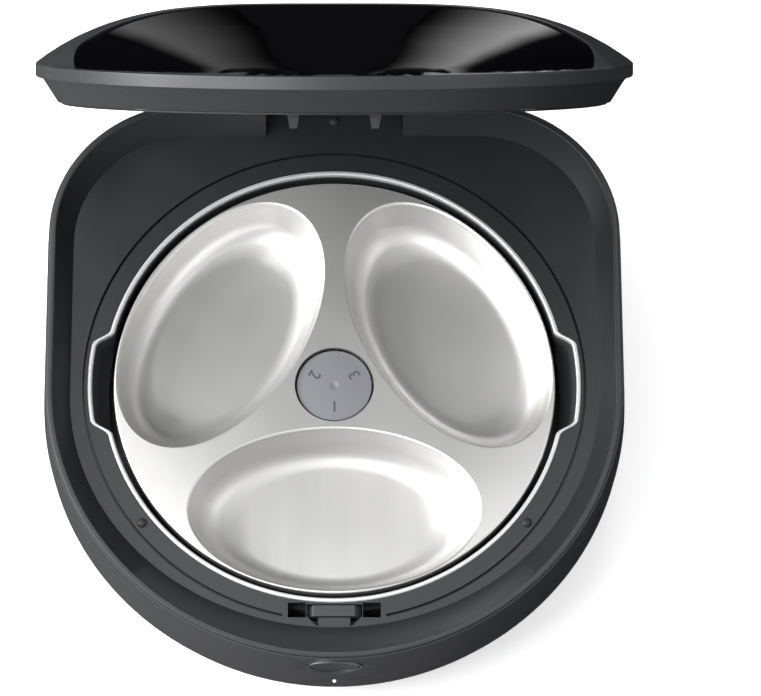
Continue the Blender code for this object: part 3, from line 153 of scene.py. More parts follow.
@dataclass(frozen=True)
class Finish:
    """One real surface: its shader values, and the grain and cloud patterns that break it up."""

    name: str
    colour: str
    second: str
    roughness: float
    spread: float = 0.05
    metallic: float = 0.0
    ior: float = 1.5
    grain_mm: float = 0.6
    grain_depth_mm: float = 0.02
    cloud_mm: float = 35.0
    stretch: Point = (1.0, 1.0, 1.0)
    cloud_detail: float = 3.0
    grain_detail: float = 2.0

    def build(self) -> bpy.types.Material:
        """Make the material."""
        made, tree = new_material(self.name)
        place = add_node(tree, "TexCoord").outputs["Object"]
        cloud = self._noise(tree, place, self.cloud_mm, self.cloud_detail)
        rough = add_node(tree, "MapRange",
                         {"To Min": self.roughness - self.spread, "To Max": self.roughness + self.spread},
                         {"Value": cloud})
        bump = add_node(tree, "Bump", {"Strength": 1.0, "Distance": self.grain_depth_mm * MM},
                        {"Height": self._grain(tree, place)})
        shader = add_node(tree, "BsdfPrincipled", {"Metallic": self.metallic},
                          {"Roughness": rough.outputs["Result"], "Normal": bump.outputs["Normal"],
                           "Base Color": blend(tree, cloud, linear(self.colour), linear(self.second))})
        if not self.metallic:
            shader.inputs["IOR"].default_value = self.ior
        add_node(tree, "OutputMaterial", links={"Surface": shader.outputs["BSDF"]})
        return made

    def _noise(self, tree: Tree, place: Socket, size_mm: float,
               detail: float) -> Socket:
        """Noise whose blobs have a real size.

        Args:
            tree: Node tree of the material.
            place: Coordinates in metres.
            size_mm: Size of one blob.
            detail: Octaves of finer noise.

        Returns:
            The noise's value, between 0 and 1.
        """
        noise = add_node(tree, "TexNoise", {"Scale": 1 / (size_mm * MM), "Detail": detail},
                         {"Vector": place})
        return noise.outputs[0]

    def _grain(self, tree: Tree, place: Socket) -> Socket:
        """The finest pattern of the finish, as a height."""
        drawn = add_node(tree, "Mapping", {"Scale": self.stretch}, {"Vector": place})
        return self._noise(tree, drawn.outputs["Vector"], self.grain_mm, self.grain_detail)


@dataclass(frozen=True)
class CircuitBoard(Finish):
    """Solder-masked glass-fibre laminate: the copper below it shows as a paler grid."""

    track_mm: float = 2.0

    def _grain(self, tree: Tree, place: Socket) -> Socket:
        """Copper tracks that stand under the mask.

        Args:
            tree: Node tree of the material.
            place: Coordinates in metres.

        Returns:
            The tracks' height.
        """
        bricks = add_node(tree, "TexBrick",
                          {"Scale": 1 / (self.track_mm * MM), "Mortar Size": 0.12, "Color1": (1, 1, 1, 1),
                           "Color2": (0.8, 0.8, 0.8, 1), "Mortar": (0, 0, 0, 1)}, {"Vector": place})
        return bricks.outputs["Fac"]


@dataclass(frozen=True)
class LitDiffuser(Finish):
    """Frosted light pipe with the status light on behind it."""

    strength: float = 3.0

    def build(self) -> bpy.types.Material:
        """Make the material with its glow."""
        made = super().build()
        shader = next(n for n in made.node_tree.nodes if n.type == "BSDF_PRINCIPLED")
        shader.inputs["Emission Color"].default_value = linear(self.second)
        shader.inputs["Emission Strength"].default_value = self.strength
        return made


# Spark-eroded mould texture: an even matt sheen that greys on faces turned to the light.
SHELL_ABS = Finish("spark eroded black ABS", "#232426", "#28292b", 0.46, grain_mm=0.7, grain_depth_mm=0.035)
# The same plastic from a smoother tool, painted a little darker as shade, for the deck down inside the rim
# and the lid's underside.
DECK_ABS_PAINTED_SHADE = Finish("fine grain charcoal ABS", "#1d1e20", "#232426", 0.42, grain_mm=0.6, grain_depth_mm=0.03)
# High-gloss moulding, with the faint orange peel of a polished tool.
LENS_GLOSS = Finish("piano black polycarbonate", "#020203", "#030304", 0.045, spread=0.02, ior=1.58,
                    grain_mm=9.0, grain_depth_mm=0.004)
# Pressed and tumbled stainless steel: a soft satin with pits too fine to see one by one.
TRAY_STEEL = Finish("satin stainless steel", "#cfcfce", "#d9d8d6", 0.47, spread=0.04, metallic=1.0,
                    grain_mm=0.9, grain_depth_mm=0.012, cloud_mm=60.0)
# Rolled rim wire with a fine satin: half metal in the shader, which gives its broad pale highlight.
RIM_SATIN = Finish("satin rim wire", "#d0d1d2", "#c8c9ca", 0.40, spread=0.04, metallic=0.5,
                   grain_mm=1.5, grain_depth_mm=0.004)
COLD_ALLOY = Finish("machined aluminium", "#a9acaf", "#b7b9bb", 0.34, metallic=1.0, grain_mm=0.8,
                    grain_depth_mm=0.02, stretch=(1.0, 14.0, 1.0))
CAP_ABS = Finish("blue grey ABS", "#75777b", "#6f7175", 0.44, grain_mm=0.5, grain_depth_mm=0.02)
INNER_ABS = Finish("flat black ABS", "#2b2c2e", "#323335", 0.45, grain_mm=0.9, grain_depth_mm=0.04)
FOOT_RUBBER = Finish("moulded black rubber", "#131313", "#1b1b1b", 0.62, grain_mm=0.5, grain_depth_mm=0.05)
JACKET_FOAM = Finish("closed cell foam", "#151617", "#1a1b1c", 0.9, grain_mm=1.2, grain_depth_mm=0.35)
GEAR_NYLON = Finish("acetal gear plastic", "#d9d6cc", "#cfccc1", 0.36, grain_mm=0.8, grain_depth_mm=0.01)
MASKED_BOARD = CircuitBoard("green solder mask", "#12502f", "#1b6a3d", 0.35, grain_depth_mm=0.05)
SINTERED_TILE = Finish("sintered ceramic", "#dfe1e2", "#cfd2d4", 0.55, grain_mm=0.5, grain_depth_mm=0.02)
STATUS_LIGHT = LitDiffuser("frosted light pipe", "#e9edf2", "#f4f8ff", 0.4)

# The digits' faces are a shade darker than the cap, and the button's ring is smoother than the pot's rim.
DIGIT_ABS = Finish("cap number ABS", "#4e5054", "#494b4f", 0.35, grain_mm=0.5, grain_depth_mm=0.01)
BEZEL_PLATING = Finish("smooth bezel plating", "#b4b6b8", "#aaacae", 0.22, metallic=1.0, grain_mm=1.0,
                       grain_depth_mm=0.004)

FINISHES = {
    Slot.BODY: SHELL_ABS, Slot.DECK: DECK_ABS_PAINTED_SHADE, Slot.GLOSS: LENS_GLOSS, Slot.STEEL: TRAY_STEEL,
    Slot.BRIGHT: RIM_SATIN, Slot.ALLOY: COLD_ALLOY, Slot.CAP: CAP_ABS, Slot.DARK: INNER_ABS,
    Slot.RUBBER: FOOT_RUBBER, Slot.FOAM: JACKET_FOAM, Slot.NYLON: GEAR_NYLON, Slot.BOARD: MASKED_BOARD,
    Slot.CERAMIC: SINTERED_TILE, Slot.LIGHT: STATUS_LIGHT,
}


def select_none() -> None:
    """Leave edit mode and select nothing."""
    if bpy.context.object and bpy.context.object.mode != "OBJECT":
        bpy.ops.object.mode_set(mode="OBJECT")
    bpy.ops.object.select_all(action="DESELECT")


def take_up(piece: Piece) -> None:
    """Make one piece the only selected and the active one.

    Args:
        piece: The piece.
    """
    select_none()
    piece.select_set(True)
    bpy.context.view_layer.objects.active = piece


@contextmanager
def editing(piece: Piece, mode: str = "FACE") -> Iterator[bpy.types.Mesh]:
    """Edit mode on one piece, with everything in it selected.

    Args:
        piece: Mesh object to edit.
        mode: VERT, EDGE or FACE selection.

    Yields:
        The piece's mesh.
    """
    take_up(piece)
    bpy.ops.object.mode_set(mode="EDIT")
    bpy.ops.mesh.select_mode(type=mode)
    bpy.ops.mesh.select_all(action="SELECT")
    yield piece.data
    bpy.ops.object.mode_set(mode="OBJECT")


def choose(piece: Piece, test: Callable[[bpy.types.MeshPolygon], bool]) -> None:
    """Select only the faces that pass a test, from inside edit mode.

    Args:
        piece: Mesh object in edit mode.
        test: Says of a face whether it is wanted.
    """
    bpy.ops.mesh.select_all(action="DESELECT")
    bpy.ops.object.mode_set(mode="OBJECT")
    for face in piece.data.polygons:
        face.select = test(face)
    bpy.ops.object.mode_set(mode="EDIT")


def choose_edges(piece: Piece, test: Callable[[Vector, Vector], bool]) -> None:
    """Select only the edges that pass a test, from inside edit mode.

    Args:
        piece: Mesh object in edit mode.
        test: Says of an edge's two ends whether it is wanted.
    """
    bpy.ops.mesh.select_mode(type="EDGE")
    bpy.ops.mesh.select_all(action="DESELECT")
    bpy.ops.object.mode_set(mode="OBJECT")
    mesh = piece.data
    for edge in mesh.edges:
        edge.select = test(*(mesh.vertices[i].co for i in edge.vertices))
    bpy.ops.object.mode_set(mode="EDIT")


def modify(piece: Piece, kind: str, **settings: object) -> None:
    """Add a modifier to a piece and apply it.

    Args:
        piece: Mesh object that gets it.
        kind: Blender's type name of the modifier.
        settings: Values of the modifier.
    """
    take_up(piece)
    made = piece.modifiers.new(kind.title(), kind)
    for name, value in settings.items():
        setattr(made, name, value)
    bpy.ops.object.modifier_apply(modifier=made.name)


def smooth(piece: Piece, degrees: float = 32.0) -> None:
    """Shade a piece smooth, with its true edges kept sharp."""
    take_up(piece)
    bpy.ops.object.shade_smooth_by_angle(angle=math.radians(degrees))


def settle(piece: Piece) -> None:
    """Write a piece's place, turn and scale into its mesh."""
    take_up(piece)
    bpy.ops.object.transform_apply(location=True, rotation=True, scale=True)


def shape(piece: Piece, place: Callable[[Vector], Vector]) -> None:
    """Move every point of a piece to where a rule puts it.

    Args:
        piece: Mesh object that changes.
        place: Gives a point's new place.
    """
    for vertex in piece.data.vertices:
        vertex.co = place(vertex.co)
    piece.data.update()

def newest(name: str) -> Piece:
    """Name the piece that an operator has just made, and return it.

    Args:
        name: The name.

    Returns:
        The piece.
    """
    piece = bpy.context.object
    piece.name = name
    return piece


def face_outwards() -> None:
    """Turn every face of the piece in edit mode outwards."""
    bpy.ops.mesh.select_all(action="SELECT")
    bpy.ops.mesh.normals_make_consistent(inside=False)


def cylinder(name: str, radius: float, depth: float, spot: Point, steps: int) -> Piece:
    """Upright cylinder.

    Args:
        name: Name of the piece.
        radius: Its radius.
        depth: Its height.
        spot: Its middle.
        steps: Sides of its outline.

    Returns:
        The cylinder, at the origin.
    """
    bpy.ops.mesh.primitive_cylinder_add(vertices=steps, radius=radius, depth=depth, location=spot)
    piece = newest(name)
    settle(piece)
    return piece


def at_height(points: list[Pair], height: float) -> list[Point]:
    """Lift plan points to a height."""
    return [(x, y, height) for x, y in points]


def polar(reach: float, turn: float) -> Pair:
    """Plan point at a distance and direction from the tray's axis."""
    return reach * math.cos(turn), reach * math.sin(turn)


def rectangle(left: float, front: float, right: float, rear: float) -> list[Pair]:
    """Corners of a plan rectangle, anticlockwise."""
    return [(left, front), (right, front), (right, rear), (left, rear)]


def round_over(near: float, far: float, low: float, radius: float, steps: int) -> list[Pair]:
    """Distance and height of points over a wall with two rounded edges.

    Args:
        near: Distance of the first rounding's centre.
        far: Distance of the second rounding's centre.
        low: Height of both centres.
        radius: Radius of the roundings.
        steps: Steps of each rounding.

    Returns:
        The points, from the near side to the far one.
    """
    quarter = [math.pi / 2 * i / steps for i in range(steps + 1)]
    arc = [(radius * math.cos(turn), low + radius * math.sin(turn)) for turn in quarter]
    return [(near - out, up) for out, up in arc] + [(far + out, up) for out, up in reversed(arc)]


def merged_copy(name: str, node: str) -> Piece:
    """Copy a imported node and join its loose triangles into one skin.

    Args:
        name: Name of the new piece.
        node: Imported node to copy.

    Returns:
        The copy, with shared corners and with flat faces whole again.
    """
    piece = bpy.data.objects.new(name, NODES[node].data.copy())
    bpy.context.scene.collection.objects.link(piece)
    piece.data.materials.clear()
    with editing(piece):
        bpy.ops.mesh.remove_doubles(threshold=WELD)
        bpy.ops.mesh.customdata_custom_splitnormals_clear()
        bpy.ops.mesh.tris_convert_to_quads(face_threshold=math.radians(1), shape_threshold=math.pi)
    return piece


def ring_loft(name: str, rings: list[list[Point]]) -> Piece:
    """Closed band through rings of as many points each, the last joined to the first.

    Args:
        name: Name of the piece.
        rings: Points of each ring, measured from the tray's axis.

    Returns:
        The band, in the frame's place.
    """
    bpy.ops.mesh.primitive_torus_add(major_segments=len(rings[0]), minor_segments=len(rings))
    piece = newest(name)
    for i, vertex in enumerate(piece.data.vertices):
        around, ring = divmod(i, len(rings))
        vertex.co = Vector(rings[ring][around]) - Vector((0, MIDDLE_SHIFT, 0))
    with editing(piece):
        face_outwards()
    settle(piece)
    return piece


def upright(name: str, outline: list[Pair], low: float, high: float) -> Piece:
    """Upright block over a plan outline.

    Args:
        name: Name of the block.
        outline: Plan points, measured from the tray's axis.
        low: Height of its underside.
        high: Height of its top.

    Returns:
        The block, in the frame's place.
    """
    bpy.ops.mesh.primitive_circle_add(vertices=len(outline), fill_type="NGON")
    piece = newest(name)
    for vertex, (x, y) in zip(piece.data.vertices, outline):
        vertex.co = (x, y - MIDDLE_SHIFT, low)
    with editing(piece):
        bpy.ops.mesh.extrude_region_move(TRANSFORM_OT_translate={"value": (0, 0, high - low)})
        face_outwards()
    return piece


def combine(piece: Piece, operation: str, *tools: Piece) -> None:
    """Cut tools out of a piece or add them to it, one after another, and remove them.

    Args:
        piece: Mesh object that changes.
        operation: DIFFERENCE or UNION.
        tools: Mesh objects that are used up.
    """
    for tool in tools:
        modify(piece, "BOOLEAN", operation=operation, object=tool, solver="EXACT")
        bpy.data.objects.remove(tool)


class Palette:
    """The finishes, each made once."""

    def __init__(self) -> None:
        """Build every finish's material."""
        self.materials = {slot: finish.build() for slot, finish in FINISHES.items()}
        self.digit = DIGIT_ABS.build()
        self.bezel = BEZEL_PLATING.build()

    def lay(self, piece: Piece, slot: Slot) -> None:
        """Give all of a piece one finish."""
        piece.data.materials.clear()
        piece.data.materials.append(self.materials[slot])

    def lay_on_node(self, node: str, slot: Slot) -> None:
        """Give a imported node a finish, with its mesh left alone."""
        for place in NODES[node].material_slots:
            place.material = self.materials[slot]


@dataclass
class SubAssembly:
    """Pieces that are dressed together."""

    palette: Palette
    body: str = "base"

    def add(self, piece: Piece, slot: Slot, *nodes: str, body: str | None = None) -> Piece:
        """Put a finished piece on its body.

        Args:
            piece: The new mesh.
            slot: Its finish.
            nodes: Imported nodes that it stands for.
            body: Body that carries it, where it isn't the sub-assembly's own.

        Returns:
            The same piece.
        """
        self.palette.lay(piece, slot)
        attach(piece, body or self.body)
        if nodes:
            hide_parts(*nodes)
        LOG.info("%s: %d faces, %s", piece.name, len(piece.data.polygons), slot.value)
        return piece

    def skin(self, node: str, slot: Slot, degrees: float = 32.0, edge_mm: float = 0.0,
             outline: "DOutline | None" = None, body: str | None = None) -> Piece:
        """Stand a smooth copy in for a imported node.

        Args:
            node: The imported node.
            slot: Its finish.
            degrees: Faces that meet at less than this are shaded as one surface.
            edge_mm: Width of the moulded edges' rounding, or 0 to leave them.
            outline: Outline that the copy's wall is rounded to.
            body: Body that carries the piece.

        Returns:
            The finished piece.
        """
        piece = merged_copy(f"{node}_skin", node)
        if outline:
            outline.round_off(piece, AT_BODY)
        if edge_mm:
            modify(piece, "BEVEL", width=edge_mm * MM, segments=2, limit_method="ANGLE",
                   angle_limit=CREASE, use_clamp_overlap=True, harden_normals=False)
        smooth(piece, degrees)
        return self.add(piece, slot, node, body=body)

    def dress(self, slot: Slot, *nodes: str) -> None:
        """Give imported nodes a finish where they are.

        Args:
            slot: The finish.
            nodes: Their names.
        """
        for node in nodes:
            self.palette.lay_on_node(node, slot)
            LOG.info("%s: packed node, %s", node, slot.value)


@dataclass(frozen=True)
class DOutline:
    """Plan outline of the body and lid: a half circle in front, two large corners behind."""

    half: float = 154.5 * MM
    centre_y: float = -6.5 * MM
    rear_y: float = 158.5 * MM
    corner: float = 77.0 * MM
    front_steps: int = 20
    corner_steps: int = 6
    skin_share: float = 0.88
    fine_front: int = 120
    fine_side: int = 24
    fine_corner: int = 20
    fine_rear: int = 28
    long_edge: float = 5.0 * MM
    level_edge: float = 1.5 * MM
    wall_cuts: int = 3

    def share(self, x: float, y: float, inset: float) -> float:
        """Share of the outline, drawn in by inset and scaled about the centre, that a point lies on.

        Args:
            x: Across.
            y: Along, towards the rear.
            inset: How far the outline is drawn in.

        Returns:
            1 on the outline, 0 at the centre.
        """
        half, across, along = self.half - inset, abs(x), y - self.centre_y
        if along <= 0:
            return math.hypot(across, along) / half
        corner = (self.half - self.corner, self.rear_y - self.corner - self.centre_y)
        radius = self.corner - inset
        share = max(across / half, along / (self.rear_y - inset - self.centre_y))
        if across > corner[0] * share and along > corner[1] * share:
            dot = across * corner[0] + along * corner[1]
            square = corner[0] ** 2 + corner[1] ** 2 - radius ** 2
            share = (dot - math.sqrt(max(dot ** 2 - square * (across ** 2 + along ** 2), 0))) / square
        return share

    def ring(self, inset: float, front_extra: float = 0.0) -> list[Pair]:
        """Closely spaced points of the outline, drawn in by inset and by front_extra more in front.

        Args:
            inset: How far the outline is drawn in.
            front_extra: How much further its front is drawn in.

        Returns:
            Points anticlockwise from the left end of the front curve.
        """
        half, radius = self.half - inset, self.corner - inset
        corner_x, corner_y = self.half - self.corner, self.rear_y - self.corner
        points = []
        for i in range(self.fine_front + 1):
            turn = math.pi * (1 + i / self.fine_front)
            points.append((half * math.cos(turn), self.centre_y + (half - front_extra) * math.sin(turn)))
        sides = [self.centre_y + (corner_y - self.centre_y) * i / self.fine_side
                 for i in range(1, self.fine_side)]
        points += [(half, y) for y in sides]
        for start, sign in ((0, 1), (math.pi / 2, -1)):
            for i in range(self.fine_corner + 1):
                x, y = polar(radius, start + math.pi / 2 * i / self.fine_corner)
                points.append((sign * corner_x + x, corner_y + y))
            if sign > 0:
                across = [corner_x * (1 - 2 * i / self.fine_rear) for i in range(1, self.fine_rear)]
                points += [(x, corner_y + radius) for x in across]
        return points + [(-half, y) for y in reversed(sides)]

    def rounded(self, point: Vector) -> Vector:
        """Move a point of a flat-sided wall out to the true curve.

        Args:
            point: A point in the shut lid's or the body's plan.

        Returns:
            The point on the curve, or the same point where the wall is straight or far inside.
        """
        if self.share(point.x, point.y, 0.0) < self.skin_share:
            return point
        corner_x, corner_y = self.half - self.corner, self.rear_y - self.corner
        if point.y < self.centre_y:
            middle, step = Vector((0.0, self.centre_y, point.z)), math.pi / self.front_steps
        elif abs(point.x) > corner_x and point.y > corner_y:
            middle = Vector((math.copysign(corner_x, point.x), corner_y, point.z))
            step = math.pi / 2 / self.corner_steps
        else:
            return point
        arm = point - middle
        off = math.atan2(arm.y, arm.x) % step - step / 2
        return middle + arm * (math.cos(off) / math.cos(step / 2))

    def on_wall(self, point: Vector) -> bool:
        """Say whether a point lies in the outer wall."""
        return self.share(point.x, point.y, 0.0) > self.skin_share

    def round_off(self, piece: Piece, place: Matrix) -> None:
        """Split a piece's long level wall edges and round them.

        Args:
            piece: A merged copy.
            place: Where the piece's own body stands in the frame.
        """
        piece.data.transform(place.inverted())
        with editing(piece, "EDGE"):
            choose_edges(piece, lambda a, b: (a - b).length > self.long_edge
                         and abs(a.z - b.z) < self.level_edge and self.on_wall(a) and self.on_wall(b))
            bpy.ops.mesh.subdivide(number_cuts=self.wall_cuts)
        shape(piece, self.rounded)
        piece.data.transform(place)


HINGE = Vector((0.0, 174.5 * MM, 74.0 * MM))
OPEN_ANGLE = math.radians(61.3)
AT_BODY = Matrix.Translation((0, -MIDDLE_SHIFT, 0))
OPEN_LID = (Matrix.Translation(HINGE - Vector((0, MIDDLE_SHIFT, 0))) @ Matrix.Rotation(-OPEN_ANGLE, 4, "X")
            @ Matrix.Translation(-HINGE))
PLAN = DOutline()


@dataclass
class BaseHousing(SubAssembly):
    """Outer shell, floor, feet, bumpers, the rear hinge housing and the latch parts."""

    moulded_edge_mm: float = 0.35

    def build(self) -> None:
        """Stand smooth skins in for the housing's nodes."""
        self.skin("outer_shell", Slot.BODY, 30, self.moulded_edge_mm, PLAN)
        self.skin("bottom_cover", Slot.DARK, 30, 0.0, PLAN)
        self.skin("hinge_housing", Slot.BODY, 35, self.moulded_edge_mm)
        for bumper in ("bumper_left", "bumper_right", "bumper_rear"):
            self.skin(bumper, Slot.RUBBER, 60)
        for foot in ("foot_front_left", "foot_front_right", "foot_rear_left", "foot_rear_right"):
            self.skin(foot, Slot.RUBBER, 40)
        self.dress(Slot.DARK, "dc_socket", "latch_bridge")
        self.dress(Slot.BODY, "latch_tab")
        self.dress(Slot.STEEL, "hinge_pin")


@dataclass(frozen=True)
class PotOutline:
    """Plan of the pot's mouth, a circle with two finger recesses."""

    radius: float = 121.8 * MM
    ear_radius: float = 129.8 * MM
    flat_angle: float = math.radians(9.6)
    end_angle: float = math.radians(14.0)
    steps: int = 256
    crowding: float = 0.3

    def reach(self, turn: float, ear: float = 1.0) -> float:
        """Distance of the outline from the tray's axis.

        Args:
            turn: Direction from the axis.
            ear: Share of the finger recess's full depth.

        Returns:
            The distance.
        """
        side = abs(math.atan2(math.sin(turn), abs(math.cos(turn))))
        ease = min(max((self.end_angle - side) / (self.end_angle - self.flat_angle), 0), 1)
        return self.radius + (self.ear_radius - self.radius) * ear * ease * ease * (3 - 2 * ease)

    def ring(self, spread: float, height: float, ear: float = 1.0) -> list[Point]:
        """Ring of the outline, with its points closest at the recesses.

        Args:
            spread: How far the outline is drawn out.
            height: Height of the ring.
            ear: Share of the finger recess's full depth.

        Returns:
            The points, anticlockwise.
        """
        evenly = [2 * math.pi * i / self.steps for i in range(self.steps)]
        turns = [turn - self.crowding * math.sin(2 * turn) for turn in evenly]
        return at_height([polar(self.reach(turn, ear) + spread, turn) for turn in turns], height)


POT = PotOutline()


@dataclass
class Deck(SubAssembly):
    """Rim, sloping inner wall and deck plate in one moulding."""

    top: float = 74.0 * MM
    thick: float = 2.8 * MM
    rim_top: float = 90.0 * MM
    rim_lip: float = 1.1 * MM
    rim_width: float = 3.5 * MM
    edge: float = 0.7 * MM
    gap: float = 0.3 * MM
    rim_ledge: float = 0.8 * MM
    slip: float = 0.5 * MM
    foot_inset: float = 12.7 * MM
    front_extra: float = 9.8 * MM
    wall: float = 1.6 * MM
    shell: float = 2.5 * MM
    ring_width: float = 2.8 * MM
    groove_radius: float = 134.6 * MM
    groove_width: float = 1.5 * MM
    groove_depth: float = 2.3 * MM
    groove_break: float = math.radians(11.7)
    groove_steps: int = 200
    hole_x: float = 19.75 * MM
    hole_y: float = -128.9 * MM
    hole_size: Pair = (9.5 * MM, 8.2 * MM)
    well_plan: tuple[float, ...] = (-137.6 * MM, 9.5 * MM, -132.2 * MM, -125.7 * MM)
    notch_half: float = 37.5 * MM
    notch_front: float = 144.6 * MM
    notch_reach: float = 38.1 * MM
    overrun: float = 4.0 * MM
    edge_steps: int = 4

    def walls(self) -> list[list[Point]]:
        """Rings from the rim's outer lip over the rim, down the inner wall, under the deck and back up."""
        under, low, lip = self.top - self.thick, self.rim_top - self.edge, self.rim_top - self.rim_lip
        over = round_over(self.rim_ledge + self.edge, self.rim_width, low, self.edge, self.edge_steps)
        levels = [(self.rim_ledge, lip, 0.0)] + [(inset, height, 0.0) for inset, height in over]
        levels.append((self.foot_inset, self.top, self.front_extra))
        rings = [at_height(PLAN.ring(inset, extra), height) for inset, height, extra in levels]
        turns = [math.atan2(y, x) for x, y, _ in rings[-1]]
        hole = [polar(POT.reach(turn) + self.ring_width + self.gap, turn) for turn in turns]
        rings += [at_height(hole, height) for height in (self.top, under)]
        rings.append(at_height(PLAN.ring(self.foot_inset - self.wall, self.front_extra), under))
        rings.append(at_height(PLAN.ring(self.shell + self.slip), lip))
        return rings

    def tools(self) -> list[Piece]:
        """Cutters for the groove, the latch's well and two holes, and the rear notch."""
        over, under = self.top + self.overrun, self.top - self.thick - self.overrun
        start, sweep = self.groove_break - math.pi / 2, 2 * (math.pi - self.groove_break)
        turns = [start + sweep * i / self.groove_steps for i in range(self.groove_steps + 1)]
        far, near = (self.groove_radius + side * self.groove_width / 2 for side in (1, -1))
        sector = [polar(far, turn) for turn in turns] + [polar(near, turn) for turn in reversed(turns)]
        made = [upright("groove_tool", sector, self.top - self.groove_depth, over)]
        wide, deep = (size / 2 for size in self.hole_size)
        made.append(upright("well_tool", self.well(self.hole_x - wide - self.gap), under, over))
        for x in (-self.hole_x, self.hole_x):
            hole = rectangle(x - wide, self.hole_y - deep, x + wide, self.hole_y + deep)
            made.append(upright("hole_tool", hole, under, over))
        notch = rectangle(-self.notch_half, self.notch_front,
                          self.notch_half, self.notch_front + self.notch_reach)
        made.append(upright("notch_tool", notch, self.top - self.gap, self.rim_top + self.overrun))
        return made

    def well(self, half: float) -> list[Pair]:
        """Plan of the latch's well."""
        front, tab, near, far = self.well_plan
        return [(-half, far), (-half, near), (-tab, front), (tab, front), (half, near), (half, far)]

    def build(self) -> None:
        """Loft the moulding, cut it and add the notch's floor."""
        made = ring_loft("deck_moulding", self.walls())
        combine(made, "DIFFERENCE", *self.tools())
        half = self.notch_half - self.gap
        floor = rectangle(-half, self.notch_front - self.overrun, half, PLAN.rear_y + self.shell)
        combine(made, "UNION", upright("notch_floor", floor, self.top - self.thick + self.gap / 2,
                                       self.top - self.gap / 2))
        smooth(made, 30)
        # The deck finish is the shell plastic painted darker, as shade inside the rim.
        self.add(made, Slot.DECK, "top_deck")


@dataclass
class ChilledPot(SubAssembly):
    """Pot with its bright rim, and the cooling stack under it."""

    under: float = 71.2 * MM
    seat: float = 0.3 * MM
    floor: float = 40.0 * MM
    sheet: float = 1.2 * MM
    flange: float = 2.8 * MM
    bore: float = 8.0 * MM
    rim_in: float = -0.4 * MM
    rim_width: float = 2.9 * MM
    rim_high: float = 74.3 * MM
    rim_round: float = 1.0 * MM
    rim_steps: int = 6
    scoop: tuple = ((3.0, 0.86), (6.0, 0.74), (9.0, 0.58), (11.5, 0.32), (13.5, 0.0))

    def liner(self) -> Piece:
        """Pot whose finger recesses run out into its wall."""
        top, inner = self.under - self.seat, self.floor + self.sheet
        bore = [polar(self.bore, math.atan2(y, x)) for x, y, _ in POT.ring(0, 0)]
        inside = [POT.ring(0, top)] + [POT.ring(0, top - down * MM, ear) for down, ear in self.scoop]
        rings = inside + [POT.ring(0, inner, 0.0), at_height(bore, inner), at_height(bore, self.floor)]
        rings.append(POT.ring(self.sheet, self.floor, 0.0))
        rings += [POT.ring(self.sheet, top - down * MM, ear) for down, ear in reversed(self.scoop)]
        brim = self.sheet + self.flange
        rings += [POT.ring(self.sheet, top - self.sheet)]
        rings += [POT.ring(brim, height) for height in (top - self.sheet, top)]
        return ring_loft("pot_liner", rings)

    def rim(self) -> Piece:
        """Bright rim with a rounded top."""
        over = round_over(self.rim_round - self.rim_in, self.rim_width - self.rim_round,
                          self.rim_high - self.rim_round, self.rim_round, self.rim_steps)
        inner, outer = (POT.ring(spread, self.under) for spread in (-self.rim_in, self.rim_width))
        return ring_loft("bright_rim", [inner, *(POT.ring(*spot) for spot in over), outer])

    def build(self) -> None:
        """Build the pot and its rim and dress the cooling parts."""
        made = (self.liner(), Slot.DARK, "cooling_pot"), (self.rim(), Slot.BRIGHT, "pot_rim")
        for piece, slot, node in made:
            smooth(piece, 40)
            self.add(piece, slot, node)
        self.dress(Slot.FOAM, "insulation_ring")
        self.dress(Slot.ALLOY, "cold_block", "heat_sink")
        self.dress(Slot.CERAMIC, "peltier_module")
        self.dress(Slot.DARK, "fan_frame", "fan_rotor")


